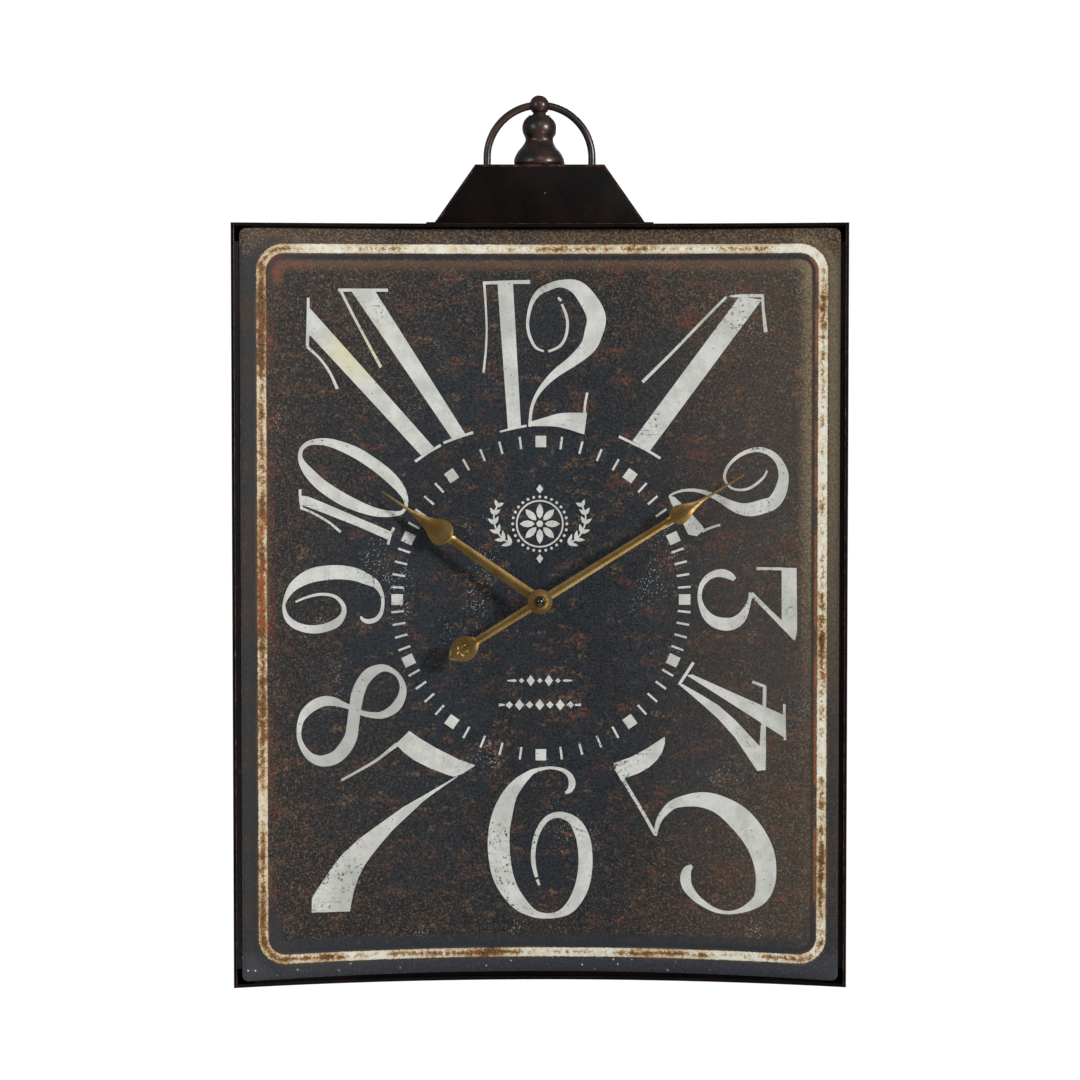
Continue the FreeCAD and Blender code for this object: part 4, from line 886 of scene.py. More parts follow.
drawn("numeral_1", centre=(141.2, 208.1), slabs=[
    [(41, 70), (61, 67), (-40, -71.5), (-56, -62.5)],
], strokes=[
    [(32.5, 70, 1.8), (45, 70.5, 3), (62.5, 70.5, 3)],
    [(61.5, 70, 2.6), (62.5, 55, 2.6), (64.5, 37.5, 3.4)],
    [(29, 69.5, 2.4), (10, 50, 2.4), (-20, 18.5, 2.6), (-47, -8.5, 3)],
    [(-68.5, -58.5, 2.4), (-55, -65, 2.4), (-42, -71.5, 2.2), (-30.5, -78.5, 2.4)],
])
drawn("numeral_2", centre=(176.7, 93.8), slabs=[
    [(-58.5, 1.5), (-53, 0.5), (-38.5, -13.5), (-25.5, -28.5), (-32.5, -35.5), (-40.5, -34),
     (-46, -22), (-56, -5.5)],
], strokes=[
    [(30.5, 25.5, 1.8), (28, 20, 2.2), (22, 14, 2.4), (14.5, 9, 2.4), (6, 7.5, 2.2),
     (-2, 9.5, 2.2), (-7, 16, 2.4), (-7.2, 23, 2.6), (-3, 31, 2.8), (5, 38.5, 3.2),
     (14, 43, 3.8), (24, 44.5, 4.6), (34, 41, 5.6), (41, 34, 6.4), (45, 24, 8.6),
     (44.8, 15, 9.8), (41.5, 4, 11.5), (35.5, -4, 12), (27, -7.3, 13), (17, -10.2, 12.6),
     (7, -9.8, 10.5), (-3, -5.8, 8), (-12, -0.8, 5.8), (-21, 3.2, 4.4), (-30, 6, 3.4),
     (-38, 6.9, 2.8), (-46, 6.2, 2.4), (-53, 4, 2), (-57.5, 1.5, 1.8)],
    [(-28, -31, 2.6), (-20, -27.5, 2.2), (-11.5, -24.8, 2.2)],
])

# %% Three, four and five
drawn("numeral_3", centre=(190.5, 0.4), slabs=[
    [(30, 30.3), (43.3, 30.3), (44, -10), (44, -28), (42.3, -35.8), (40.5, -35.3), (30.3, -24.5)],
], strokes=[
    [(7.5, 29, 2.8), (31, 29.2, 2.6)],
    [(3, 5.8, 4.2), (17, -8, 4), (32, -23, 5)],
    [(2.5, 7, 3.6), (1.5, 0, 3.2), (-2, -9.5, 6), (-6.5, -16.8, 9.3), (-13, -21.5, 11),
     (-21, -22.6, 11.8), (-30, -20.5, 10.5), (-37.5, -14.5, 8), (-42, -6, 5), (-43.8, 3, 3.8),
     (-42, 12.5, 4.4), (-37, 19.5, 5.4), (-30, 23.5, 6.4), (-22.5, 24.2, 7.6),
     (-16, 21.8, 6.6), (-12, 18.5, 3.8)],
])
drawn("numeral_4", centre=(179.1, -96.4), slabs=[
    [(-44, 26.5), (-39, 27.3), (0, 10.5), (44.5, -8.2), (45, -29), (0, -1)],
    [(-52, 18.5), (-47.5, 18), (-30, 8.3), (-15, -0.8), (0, -13.7), (22, -37), (28, -37),
     (27.7, -59), (20.2, -60.2), (0, -30), (-15, -13.5), (-30, 0), (-40, 8.5)],
    [(25, 16.5), (28.3, 17.5), (28, -1), (27.8, -38), (22.3, -37), (23.5, -15), (24.8, 0)],
], strokes=[
    [(44.2, 2, 2.4), (44.4, -10, 2.2), (45, -31, 2.2)],
    [(-37.8, 38.5, 2.8), (-51, 17.5, 2.6)],
    [(15.5, 21.8, 2.6), (27.5, 17.5, 2.6)],
])
drawn("numeral_5", centre=(144.8, -209.2), slabs=[
    [(-77, 56.5), (-60, 63), (-45, 71.5), (-32, 80.5), (-29.5, 82), (-29.5, 76), (-32, 67.5),
     (-37, 60), (-44, 53.5), (-54, 47.5), (-66.5, 43), (-70, 41)],
], strokes=[
    [(-74, 52, 4), (-66, 38.5, 3.2), (-50, 12, 3), (-38.5, -8.5, 3)],
    [(-38, -10, 2.6), (-36.8, -2, 4), (-33.5, 7, 5.5), (-27, 15, 7.5), (-20, 20.3, 8.6),
     (-5, 24, 12), (8.5, 23.9, 15), (22, 19.5, 17.5), (37.2, 9.2, 22), (50.5, -6, 22.3),
     (59.2, -22.8, 21.5), (62.5, -40, 19), (61.5, -54, 16.5), (57, -65.5, 11.8), (48, -73, 7.5),
     (39, -77.3, 4.4), (29, -79.4, 3), (18, -78, 4), (8.5, -73.4, 5.2), (-1, -66.5, 7),
     (-8.5, -57, 9.2), (-10.3, -48, 9.8), (-8.6, -41, 7.6), (-4.5, -37, 3)],
])

# %% Six, seven and eight
drawn("numeral_6", centre=(2.1, -227.9), slabs=[], strokes=[
    [(21.5, 47.5, 2.4), (26, 50.5, 5), (27.8, 56.5, 6.3), (26, 63, 5.2), (20, 68.4, 3.6),
     (10, 70.8, 2.6), (2, 70.3, 2.8), (-8, 67.6, 4.5), (-14, 63.5, 7), (-22, 56.3, 10.6),
     (-30, 45.5, 13.7), (-36, 30, 18), (-39.3, 15, 19.3), (-40.2, 0, 20.2), (-39, -15, 20),
     (-36, -30, 19), (-29.5, -44, 16.3), (-20, -56, 13.4), (-8, -64.5, 7.4), (4, -67, 5),
     (15, -65.6, 6), (24.3, -60.5, 9.6), (31.5, -51.3, 11.6), (37, -39, 12.8),
     (39.7, -25, 13), (40.2, -12, 13), (38.7, 2, 12.8), (34.5, 14, 11.5), (28, 22.5, 8.5),
     (20, 26.5, 6.4), (13, 27, 5.4), (5, 23.7, 5), (-1.5, 16, 5), (-6, 5, 4.4),
     (-8.2, -8, 4.2), (-7.6, -20, 4), (-5, -31, 3)],
    [(-4.5, -33, 3), (-2.5, -38.5, 2)],
])
drawn("numeral_7", centre=(-136.2, -205.5), slabs=[
    [(4.5, 73), (16, 84), (24, 78), (40, 68), (60, 57.5), (76, 51.5), (76, 50.5), (65, 43.5),
     (57, 40.8), (50, 43), (35, 49), (20, 57), (10, 65), (5, 70.5)],
    [(60, 41.5), (30, 24.5), (10, 13.5), (-10, -0.5), (-30, -14.5), (-45, -28), (-55, -40.5),
     (-62, -51), (-70, -62.5), (-73, -68), (-73.3, -81), (-38.5, -81.5), (-37.5, -75),
     (-35, -63), (-31, -51), (-25, -39), (-20, -32), (-10, -19.5), (0, -8), (8, -0.5),
     (20, 10.5), (28, 18), (40, 27), (60, 40.5)],
], strokes=[
    [(5, 72, 4), (-5, 64.5, 3), (-15, 57, 2.6), (-30, 48.5, 2.4), (-46, 40, 2.2)],
])
drawn("numeral_8", centre=(-171.5, -105.6), slabs=[], strokes=[], rings=[
    [(6, 2.5, 4.6), (15, -0.1, 5.2), (25, -0.8, 6.4), (34, 2.6, 8.2), (40.5, 8.5, 8.8),
     (44.7, 17, 7.4), (45.5, 25, 5.8), (43, 32.5, 4.4), (38, 38.5, 4.2), (30, 42.5, 6),
     (23, 42, 8), (15.5, 38, 10.6), (9, 30.5, 11), (4.5, 20, 11.6), (2.5, 10, 11.2),
     (1, 0, 11), (-0.3, -10, 11), (-2, -20, 11.6), (-7, -29.5, 12.4), (-13.5, -36.8, 12),
     (-21, -40.5, 11.5), (-30, -41.2, 9.6), (-38.3, -37.4, 7.4), (-44.5, -30, 5.4),
     (-48.3, -21, 4.2), (-48.7, -12, 4.4), (-47, -3.5, 5.6), (-43, 3.5, 8), (-36, 9.6, 9.4),
     (-27, 13.4, 9.4), (-18, 13, 8.2), (-10, 10.2, 5.6), (-2, 6.8, 4.2)],
])

# %% Nine, ten and eleven
drawn("numeral_9", centre=(-188.4, 0.6), slabs=[], strokes=[
    [(24.2, -15.5, 1.8), (25.8, -18.3, 3), (31, -20.4, 4.3), (38, -18.5, 4.2), (42.5, -13, 3.6),
     (44.2, -5, 3), (43.8, 3, 3.2), (41, 9.5, 4.8), (37, 14.5, 7.3), (29.5, 18.7, 10),
     (20.2, 22.8, 11.6), (10, 24.9, 12.6), (0, 25.5, 13), (-10, 24.8, 13.2),
     (-20, 22.9, 12.8), (-29, 18.8, 10.8), (-36.8, 12.9, 8), (-41.8, 5.5, 4.8),
     (-44.7, -2, 2.7), (-44.7, -8, 3.3), (-42, -15.5, 5), (-36, -21.4, 6.5), (-27, -25.3, 7),
     (-17, -26.5, 7.6), (-7, -25, 7.7), (2.2, -21, 7.7), (7.8, -14.5, 5.2), (9, -8, 4.2),
     (6.5, -2, 3.6), (1, 3, 3), (-6, 5.2, 2.6), (-14, 5.4, 2.6), (-22, 3.8, 2.4),
     (-29, 1.5, 2), (-34.5, -1, 1.8)],
])
drawn("numeral_10", centre=(-167.4, 99.3), slabs=[
    [(-50, -2.8), (-45, -3.2), (-30, -9.5), (0, -23), (31, -36.8), (28.5, -44.3), (0, -31.3),
     (-37, -16), (-49, -11.5)],
], strokes=[
    [(-51.2, 3, 2.8), (-51, -5, 2.4), (-49.7, -15, 2.6)],
    [(-50, -14.2, 2.4), (-43, -17, 2), (-33, -22.5, 2.2), (-24, -28.5, 2), (-15, -36.5, 2.4)],
    [(33.5, -33, 2.8), (30.5, -40, 2), (28, -48.5, 2.6)],
], rings=[
    [(-51, 33, 4), (-49.5, 40, 3.6), (-43.5, 45, 4.4), (-35, 46.4, 5.8), (-25, 45.6, 7.2),
     (-12, 41.2, 9), (1, 35, 10.2), (12.5, 27.5, 10.3), (23.3, 19.3, 10.6), (33.3, 10, 10),
     (40.7, 0.8, 7.6), (44.5, -8, 4.4), (44, -15, 2.8), (40, -19.3, 3.6), (33, -20.3, 5.2),
     (24, -19.9, 6.6), (13, -17.6, 8.4), (0, -12.6, 10), (-12.5, -6.5, 11.2), (-24, 0.8, 11),
     (-33.8, 8.3, 10.5), (-42.7, 17.6, 9.2), (-48.7, 26, 6.2)],
])
drawn("numeral_11", centre=(-139.9, 210.8), slabs=[
    [(-32, 72), (-10.5, 72), (71.5, -59), (59.5, -63.5)],
    [(-72, 57), (-69, 56), (42.5, -71), (31, -78.5), (-69, 31.5), (-72, 31.5)],
], strokes=[
    [(-44, 73, 2.8), (1, 73, 2.8)],
    [(-42, 73, 2.6), (-30, 49, 2.4), (-18, 26, 2.4), (-5.5, 2.5, 2.8)],
    [(51.5, -67, 2.4), (65, -62, 2.2), (78.5, -57.5, 2.6)],
    [(-70.8, 66, 2.4), (-71, 45, 2.8), (-71.8, 22, 2.8)],
    [(-72, 21.5, 2.6), (-61, 11, 2.2), (-52, -1.5, 2.4), (-45, -17, 2.8)],
    [(25.5, -84, 2.6), (37, -76, 2.2), (49, -69, 2.6)],
])

# %% [markdown]
# ## The minute ring
#
# Sixty marks stand on an oval, a square at each hour and a tick at each minute. A geometry tree
# suits marks that repeat: it makes the points, drops the ones that another mark takes, puts each
# on the oval, turns it to its ray and sets an instance there. The marks sit a little closer at
# the top and the sides than even steps would put them, which two sine terms describe.

# %% The tree that stands marks round the shaft
marks_round, wires = geometry_tree("marks_round", {
    "Count": "NodeSocketInt", "Gap": "NodeSocketInt", "Shift": "NodeSocketInt",
    "Half width": "NodeSocketFloat", "Half height": "NodeSocketFloat",
    "First ease": "NodeSocketFloat", "Second ease": "NodeSocketFloat",
    "Centre": "NodeSocketVector", "Material": "NodeSocketMaterial",
})
index = wires["Count"].node("GeometryNodeInputIndex")
even = index * (2 * math.pi) / wires["Count"]
eased = (even + wires["First ease"] * even.maths("SINE", even * 2)
         + wires["Second ease"] * even.maths("SINE", even * 4))
mark_x = wires["Half width"] * eased.maths("SINE", eased)
mark_z = wires["Half height"] * eased.maths("COSINE", eased)
ray = mark_x.maths("ARCTAN2", mark_x, mark_z)
turn = ray.node("FunctionNodeEulerToRotation", None,
                {0: ray.node("ShaderNodeCombineXYZ", None, {"Y": ray})})
flat_place = mark_x.node("ShaderNodeCombineXYZ", None, {"X": mark_x, "Z": mark_z})
mark_place = flat_place.node("ShaderNodeVectorMath", {"operation": "ADD"},
                             {0: flat_place, 1: wires["Centre"]})
points = index.node("GeometryNodePoints", None,
                    {"Count": wires["Count"], "Position": mark_place})
kept = ((index + wires["Shift"]) % wires["Gap"]).maths(
    "GREATER_THAN", (index + wires["Shift"]) % wires["Gap"], 0.5)
stood = points.node("GeometryNodeInstanceOnPoints", None, {
    "Points": points, "Selection": kept, "Instance": wires["Geometry"], "Rotation": turn})
close_tree(marks_round, stood, wires["Material"])


def around(shape_mesh, count, half_width, half_height, centre_x=0.0, centre_up=0.0, gap=1000,
           shift=1, first_ease=0.0, second_ease=0.0):
    """A flat mesh repeated round an oval about a point given in millimetres from the shaft."""
    return baked(shape_mesh, tree=marks_round, inputs={
        "Count": count, "Gap": gap, "Shift": shift,
        "Half width": half_width * MM, "Half height": half_height * MM,
        "First ease": first_ease, "Second ease": second_ease,
        "Centre": (centre_x * MM, 0.0, centre_up * MM + SHAFT_Z), "Material": NUMERAL_PAINT})


def flat_mesh(corners):
    """A flat solid from an outline in millimetres about its own middle."""
    shape = bmesh.new()
    slab(shape, [(x * MM, z * MM) for x, z in corners])
    bmesh.ops.recalc_face_normals(shape, faces=shape.faces[:])
    return mesh_of(shape)


def box_corners(width, tall):
    return [(side * width / 2, end * tall / 2) for side, end in ((-1, -1), (1, -1), (1, 1), (-1, 1))]


# %% Hour squares and minute ticks
OVAL = {"half_width": 132.1, "half_height": 144.9, "centre_x": 1.0,
        "first_ease": math.radians(8.95), "second_ease": math.radians(0.75)}
printed("hour_squares", around(flat_mesh(box_corners(9.8, 10.5)), 12, **OVAL))
printed("minute_ticks", around(flat_mesh(box_corners(2.0, 11.6)), 60, gap=5, shift=0, **OVAL))

# %% [markdown]
# ## A rosette and two rules
#
# The dial carries an ornament above the shaft and two lines below it. These are plain printer's
# ornaments: a rosette of eight petals in a beaded ring with a leaf spray at each side, and two
# dotted rules. Petals, beads and leaves repeat, so the same tree and two loops make them.

# %% The rosette
ROSETTE_UP = 69.0
PETAL = [(0, -7), (2.2, -4.5), (3.2, -0.5), (2.4, 3.5),
         (0, 7), (-2.4, 3.5), (-3.2, -0.5), (-2.2, -4.5)]
BEAD = arc(0, 0, 1.35, 0, 360, 10)[:-1]
printed("rosette_petals", around(flat_mesh(PETAL), 8, 11.6, 11.6, centre_up=ROSETTE_UP))
printed("rosette_beads", around(flat_mesh(BEAD), 28, 25.0, 25.0, centre_up=ROSETTE_UP))
printed("rosette_eye", around(flat_mesh(arc(0, 0, 3.0, 0, 360, 16)[:-1]), 1, 0.0, 0.0,
                              centre_up=ROSETTE_UP))
circle_points = [(x, z, 1.5) for x, z in arc(0, 0, 21.2, 0, 360, 24)[:-1]]

# %% The leaf sprays, the ring and the finials
SPRAY = [(26.5, -18.0), (33.0, -14.5), (38.5, -8.0), (41.8, 0.5), (42.0, 9.0), (39.0, 16.5)]
LEAF_LENGTH = 9.5
LEAF_WIDTH = 3.6


def leaf(root, angle, length, width):
    """A pointed leaf that leaves its stem at that angle, in degrees."""
    a = math.radians(angle)
    sides = [(0, 0.3), (0.3, 0.5), (0.62, 0.38), (1, 0), (0.62, -0.38), (0.3, -0.5), (0, -0.3)]
    return [(root[0] + far * length * math.cos(a) - side * width * math.sin(a),
             root[1] + far * length * math.sin(a) + side * width * math.cos(a))
            for far, side in sides]


spray_strokes, spray_leaves = [], []
for side in (1, -1):
    spray_strokes.append([(side * x, z, 1.5) for x, z in SPRAY])
    for k in range(len(SPRAY)):
        here = SPRAY[k]
        before, after = SPRAY[max(k - 1, 0)], SPRAY[min(k + 1, len(SPRAY) - 1)]
        heading = math.degrees(math.atan2(after[1] - before[1], after[0] - before[0]))
        for spread in (-42, 42):
            outline = leaf(here, heading + spread, LEAF_LENGTH * (1 - 0.06 * k), LEAF_WIDTH)
            spray_leaves.append([(side * x, z) for x, z in outline][::side])
FINIAL = [(0, 28), (3.2, 32), (0, 36.5), (-3.2, 32)]
finials = [[(x, end * z) for x, z in FINIAL][::end] for end in (1, -1)]
drawn("rosette_sprays", spray_strokes, spray_leaves + finials, (0.0, ROSETTE_UP), [circle_points])

# %% The two rules
UPPER_RULE = -76.0
LOWER_RULE = -98.5


def lozenge(x, z, wide, tall):
    return [(x - wide / 2, z), (x, z - tall / 2), (x + wide / 2, z), (x, z + tall / 2)]


upper = [lozenge(k * 8.4, UPPER_RULE, 7.6 if k % 2 else 5.0, 10.5 if k % 2 else 5.0)
         for k in (-2, -1, 0, 1, 2)]
lower = [lozenge(k * 9.4, LOWER_RULE, 7.0 if k % 2 else 8.4, 7.0 if k % 2 else 10.5)
         for k in (-3, -2, -1, 0, 1, 2, 3)]
UPPER_END = [(30, 1.0), (24, 2.4), (21.5, 1.2)]
LOWER_END = [(38, 2.6), (32.5, 1.6)]
rule_ends = [[(side * x, up, width) for x, width in end]
             for up, end in ((UPPER_RULE, UPPER_END), (LOWER_RULE, LOWER_END)) for side in (1, -1)]
drawn("dial_rules", rule_ends, upper + lower)

# %% [markdown]
# ## The hands
#
# The real hands are stamped from thin sheet with a ridge down the middle, so that one flank is
# bright and the other dark. A flat plate can't do that. The mesh has a row of points across the
# hand at each step: two edges, two shoulders and a ridge whose height grows with the width, which
# makes the spades into low pyramids.

# %% A ridged blade from its half widths
HAND_EDGE = 0.45 * MM
RIDGE_SHARE = 0.2
RIDGE_BASE = 0.3 * MM
RIDGE_LIMIT = 1.2 * MM
SHOULDER_SHARE = 0.56
BOSS_PROFILE = [(5.6, 0.6), (5.5, 1.3), (5.0, 2.1), (4.3, 2.45), (3.6, 2.2), (2.9, 1.75), (1.0, 1.7)]
BOSS_STEPS = 60
BOSS_LOBE = 0.26
BOSS_FAR = -84.0
BLADE_STEPS = 5
STRAIGHT_STEPS = 12
HUB_BEHIND = 0.5 * MM
HUB_SEGMENTS = 64


def blade_rows(runs):
    """(distance, half width) along the hand, each run smooth and each joint between runs sharp."""
    rows = []
    for run in runs:
        line = smooth_line(run, BLADE_STEPS if len(run) > 2 else STRAIGHT_STEPS)
        rows += line if not rows else line[1:]
    return rows


def star_boss(shape, far, back_y):
    """A five-lobed boss pressed into the hand, far millimetres from the shaft."""
    rings = []
    for reach, up in BOSS_PROFILE:
        ring = []
        for k in range(BOSS_STEPS):
            a = 2 * math.pi * k / BOSS_STEPS
            lobed = reach * (1 + BOSS_LOBE * math.cos(5 * a)) * MM
            ring.append(shape.verts.new((lobed * math.sin(a), back_y - up * MM,
                                         far * MM - lobed * math.cos(a))))
        rings.append(ring)
    skinned(shape, rings, True, False)
    shape.faces.new(rings[0])
    shape.faces.new(rings[-1][::-1])


def turned(shape, profile, centre, segments, along_shaft=False, closed=False):
    """Adds a profile, (radius, height) from the centre, spun about an upright axis or the shaft."""
    columns = []
    for k in range(segments):
        a = 2 * math.pi * k / segments
        column = []
        for r, up in profile:
            x, other = r * MM * math.cos(a), r * MM * math.sin(a)
            offset = Vector((x, -up * MM, other)) if along_shaft else Vector((x, other, up * MM))
            column.append(shape.verts.new(centre + offset))
        columns.append(column)
    skinned(shape, columns, closed, True)


def ridged(node, body, runs, turn, hub_profile, boss_far=None):
    """A hand along +Z, with its hub, turned clockwise by turn degrees about the shaft."""
    back_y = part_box(node)[1].y - HUB_BEHIND
    shape = bmesh.new()
    walls = []
    for far, half in blade_rows(runs):
        far, half = far * MM, half * MM
        ridge = HAND_EDGE + min(RIDGE_BASE + RIDGE_SHARE * half, RIDGE_LIMIT)
        shoulder = HAND_EDGE + (ridge - HAND_EDGE) * SHOULDER_SHARE
        profile = [(-half, 0.0), (-half, HAND_EDGE), (-half * 0.5, shoulder), (0.0, ridge),
                   (half * 0.5, shoulder), (half, HAND_EDGE), (half, 0.0)]
        walls.append([shape.verts.new((x, back_y - up, far)) for x, up in profile])
    for here, there in zip(walls, walls[1:]):
        for k in range(len(here)):
            j = (k + 1) % len(here)
            shape.faces.new((here[k], there[k], there[j], here[j]))
    shape.faces.new(walls[0])
    shape.faces.new(walls[-1][::-1])
    bmesh.ops.remove_doubles(shape, verts=shape.verts[:], dist=1e-6)
    bmesh.ops.dissolve_degenerate(shape, edges=shape.edges[:], dist=1e-6)
    turned(shape, hub_profile, Vector((0, back_y, 0)), HUB_SEGMENTS, along_shaft=True, closed=True)
    if boss_far:
        star_boss(shape, boss_far, back_y)
    bmesh.ops.recalc_face_normals(shape, faces=shape.faces[:])
    angle = math.radians(turn)
    for vertex in shape.verts:
        x, z = vertex.co.x, vertex.co.z
        vertex.co.x = x * math.cos(angle) + z * math.sin(angle)
        vertex.co.z = -x * math.sin(angle) + z * math.cos(angle) + SHAFT_Z
    return placed(node + "_pressed", mesh_of(shape), body, "hand_gold", (node,))


# %% Minute hand and hour hand
MINUTE_TURN = 58.0
HOUR_TURN = 300.0 + MINUTE_TURN / 12
MINUTE_RUNS = [
    [(-98.4, 0.05), (-95.0, 4.2), (-91.0, 7.8), (-85.5, 10.9), (-80.5, 11.4), (-75.5, 10.0),
     (-71.5, 7.0), (-68.5, 3.9)],
    [(-68.5, 3.9), (-66.5, 3.4)],
    [(-66.5, 3.4), (0.0, 4.0)],
    [(0.0, 4.0), (141.0, 3.2)],
    [(141.0, 3.2), (142.6, 5.6), (145.5, 7.9), (150.0, 9.0), (155.6, 7.6), (161.5, 4.9),
     (168.0, 2.8), (176.0, 1.6), (184.0, 1.25)],
    [(184.0, 1.25), (219.5, 0.7)],
]
HOUR_RUNS = [
    [(0.0, 5.0), (99.8, 4.0)],
    [(99.8, 4.0), (101.4, 7.2), (104.6, 10.6), (110.0, 12.1), (115.6, 10.6), (122.0, 7.2),
     (130.0, 4.3), (140.0, 2.3), (149.0, 1.35)],
    [(149.0, 1.35), (176.0, 0.7)],
]
MINUTE_HUB = [(1.4, -0.5), (11.0, -0.5), (11.5, 0.0), (11.5, 1.0), (11.1, 1.4), (10.4, 1.5),
              (6.8, 1.42), (6.3, 1.66), (5.3, 1.68), (4.9, 1.3), (1.4, 1.2)]
HOUR_HUB = [(2.55, -0.5), (8.0, -0.5), (8.5, 0.0), (8.5, 1.2), (8.1, 1.6), (2.55, 1.6)]
ridged("minute_hand", "minute_hands", MINUTE_RUNS, MINUTE_TURN, MINUTE_HUB, BOSS_FAR)
ridged("hour_hand", "hour_hands", HOUR_RUNS, HOUR_TURN, HOUR_HUB)

# %% [markdown]
# ## Turned pieces
#
# The crown, its ball and the cap nut are turned on a lathe, so each is one profile spun about its
# axis. Spinning it here, with enough steps and smooth shading, gives the clean highlights that a
# polished turning has.

# %% Spin a profile from pole to pole
TURNED_SEGMENTS = 96


def spun(name, profile, body, slot, nodes, centre, along_shaft=False):
    """A piece turned from its profile, which is (radius, height) in millimetres from the centre."""
    shape = bmesh.new()
    turned(shape, profile, centre, TURNED_SEGMENTS, along_shaft)
    bmesh.ops.remove_doubles(shape, verts=shape.verts[:], dist=1e-7)
    bmesh.ops.recalc_face_normals(shape, faces=shape.faces[:])
    return placed(name, mesh_of(shape), body, slot, nodes)


# %% Crown, ball and cap nut
base_low, base_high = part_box("crown_base")
_, ball_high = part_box("crown_ball")
crown_axis = Vector(((base_low.x + base_high.x) / 2, (base_low.y + base_high.y) / 2, base_low.z))
BELL = [(22.9, 0.9), (23.7, 3.2), (22.9, 7.4), (20.0, 12.9), (16.2, 17.4), (13.7, 21.3),
        (13.0, 24.2), (13.7, 26.6), (15.0, 29.0)]
BULB = [(15.0, 29.0), (15.9, 32.4), (15.9, 36.4), (14.6, 40.6), (12.4, 43.6), (11.2, 44.7)]
crown_profile = ([(0, 0), (22.2, 0)] + smooth_line(BELL, 5) + smooth_line(BULB, 5)[1:]
                 + [(11.0, 44.9), (10.4, 45.1), (10.2, 45.8), (9.8, 46.0), (0, 46.0)])
spun("crown_turning", crown_profile, "case", "turned_bronze", ("crown_base",), crown_axis)

BALL_RADIUS = 9.3
ball_up = (ball_high.z - base_low.z) / MM - BALL_RADIUS
BALL_NECK = [(0, 46.05), (7.4, 46.05), (6.6, 46.9), (6.1, 47.7)]
ball_profile = BALL_NECK + arc(0, ball_up, BALL_RADIUS, -50, 85, 27) + [(0, ball_up + BALL_RADIUS)]
spun("crown_ball_turning", ball_profile, "case", "turned_bronze", ("crown_ball",), crown_axis)

cap_low, cap_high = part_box("cap_nut")
CAP_RADIUS = (cap_high.x - cap_low.x) / 2 / MM
CAP_STRAIGHT = 1.2
CAP_DOME = 1.4
cap_height = (cap_high.y - cap_low.y) / MM
cap_profile = [(0, 0), (CAP_RADIUS, 0), (CAP_RADIUS, CAP_STRAIGHT)]
cap_profile += [(CAP_RADIUS * x, CAP_DOME + (cap_height - CAP_DOME) * up)
                for x, up in arc(0, 0, 1, 5, 85, 16)]
cap_profile.append((0, cap_height))
spun("cap_nut_dome", cap_profile, "minute_hands", "black_nut", ("cap_nut",),
     Vector((0, cap_high.y, SHAFT_Z)), along_shaft=True)

# %% [markdown]
# ## Wire: the bow and the winding
#
# The bow is a round bar bent to a half ring with straight legs, and the coil is hundreds of turns
# of thin wire. Both are a profile swept along a path, which is what Curve to Mesh does, so one
# geometry tree serves for both.

# %% The tree that sweeps a round wire along a path
swept_wire, wires = geometry_tree("swept_wire", {
    "Radius": "NodeSocketFloat", "Sides": "NodeSocketInt", "Material": "NodeSocketMaterial"})
path_line = wires["Geometry"].node("GeometryNodeMeshToCurve", None, {0: wires["Geometry"]})
wire_ring = path_line.node("GeometryNodeCurvePrimitiveCircle", None,
                           {"Resolution": wires["Sides"], "Radius": wires["Radius"]})
tube = path_line.node("GeometryNodeCurveToMesh", None,
                      {"Curve": path_line, "Profile Curve": wire_ring, "Fill Caps": True})
close_tree(swept_wire, tube, wires["Material"])


def wire_along(path, radius, sides, slot):
    line = bpy.data.meshes.new("path")
    line.from_pydata(path, [(i, i + 1) for i in range(len(path) - 1)], [])
    return baked(line, tree=swept_wire,
                 inputs={"Radius": radius, "Sides": sides, "Material": FINISHES[slot]})


# %% The bow
bow_low, bow_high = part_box("bow_ring")
BOW_WIRE = (bow_high.y - bow_low.y) / 2
bow_reach = (bow_high.x - bow_low.x) / 2 - BOW_WIRE
bow_middle = bow_high.z - BOW_WIRE - bow_reach
bow_y = (bow_low.y + bow_high.y) / 2
bow_path = [(bow_reach, bow_y, bow_low.z)]
bow_path += [(x, bow_y, z) for x, z in arc(0, bow_middle, bow_reach, 0, 180, 60)]
bow_path.append((-bow_reach, bow_y, bow_low.z))
bow_bar = wire_along(bow_path, BOW_WIRE, 32, "turned_bronze")
placed("bow_bar", bow_bar, "case", "turned_bronze", ("bow_ring",))

# %% The coil's winding
coil_low, coil_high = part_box("coil_winding")
COIL_TURNS = 46
COIL_STEPS = 12
CHEEK = 0.8 * MM
COIL_WIRE = 0.24 * MM
COIL_UNDER_RIM = 0.72 * MM
coil_centre = (coil_low + coil_high) / 2
coil_radius = (coil_high.x - coil_low.x) / 2 - COIL_UNDER_RIM
coil_start = coil_low.z + CHEEK
coil_run = coil_high.z - coil_low.z - 2 * CHEEK
winding_path = []
for k in range(COIL_TURNS * COIL_STEPS + 1):
    turn_angle = 2 * math.pi * k / COIL_STEPS
    winding_path.append((coil_centre.x + coil_radius * math.cos(turn_angle),
                         coil_centre.y + coil_radius * math.sin(turn_angle),
                         coil_start + coil_run * (k + 0.5) / (COIL_TURNS * COIL_STEPS + 1)))
winding = wire_along(winding_path, COIL_WIRE, 6, "copper_wire")
placed("coil_outer_turns", winding, "case", "copper_wire")
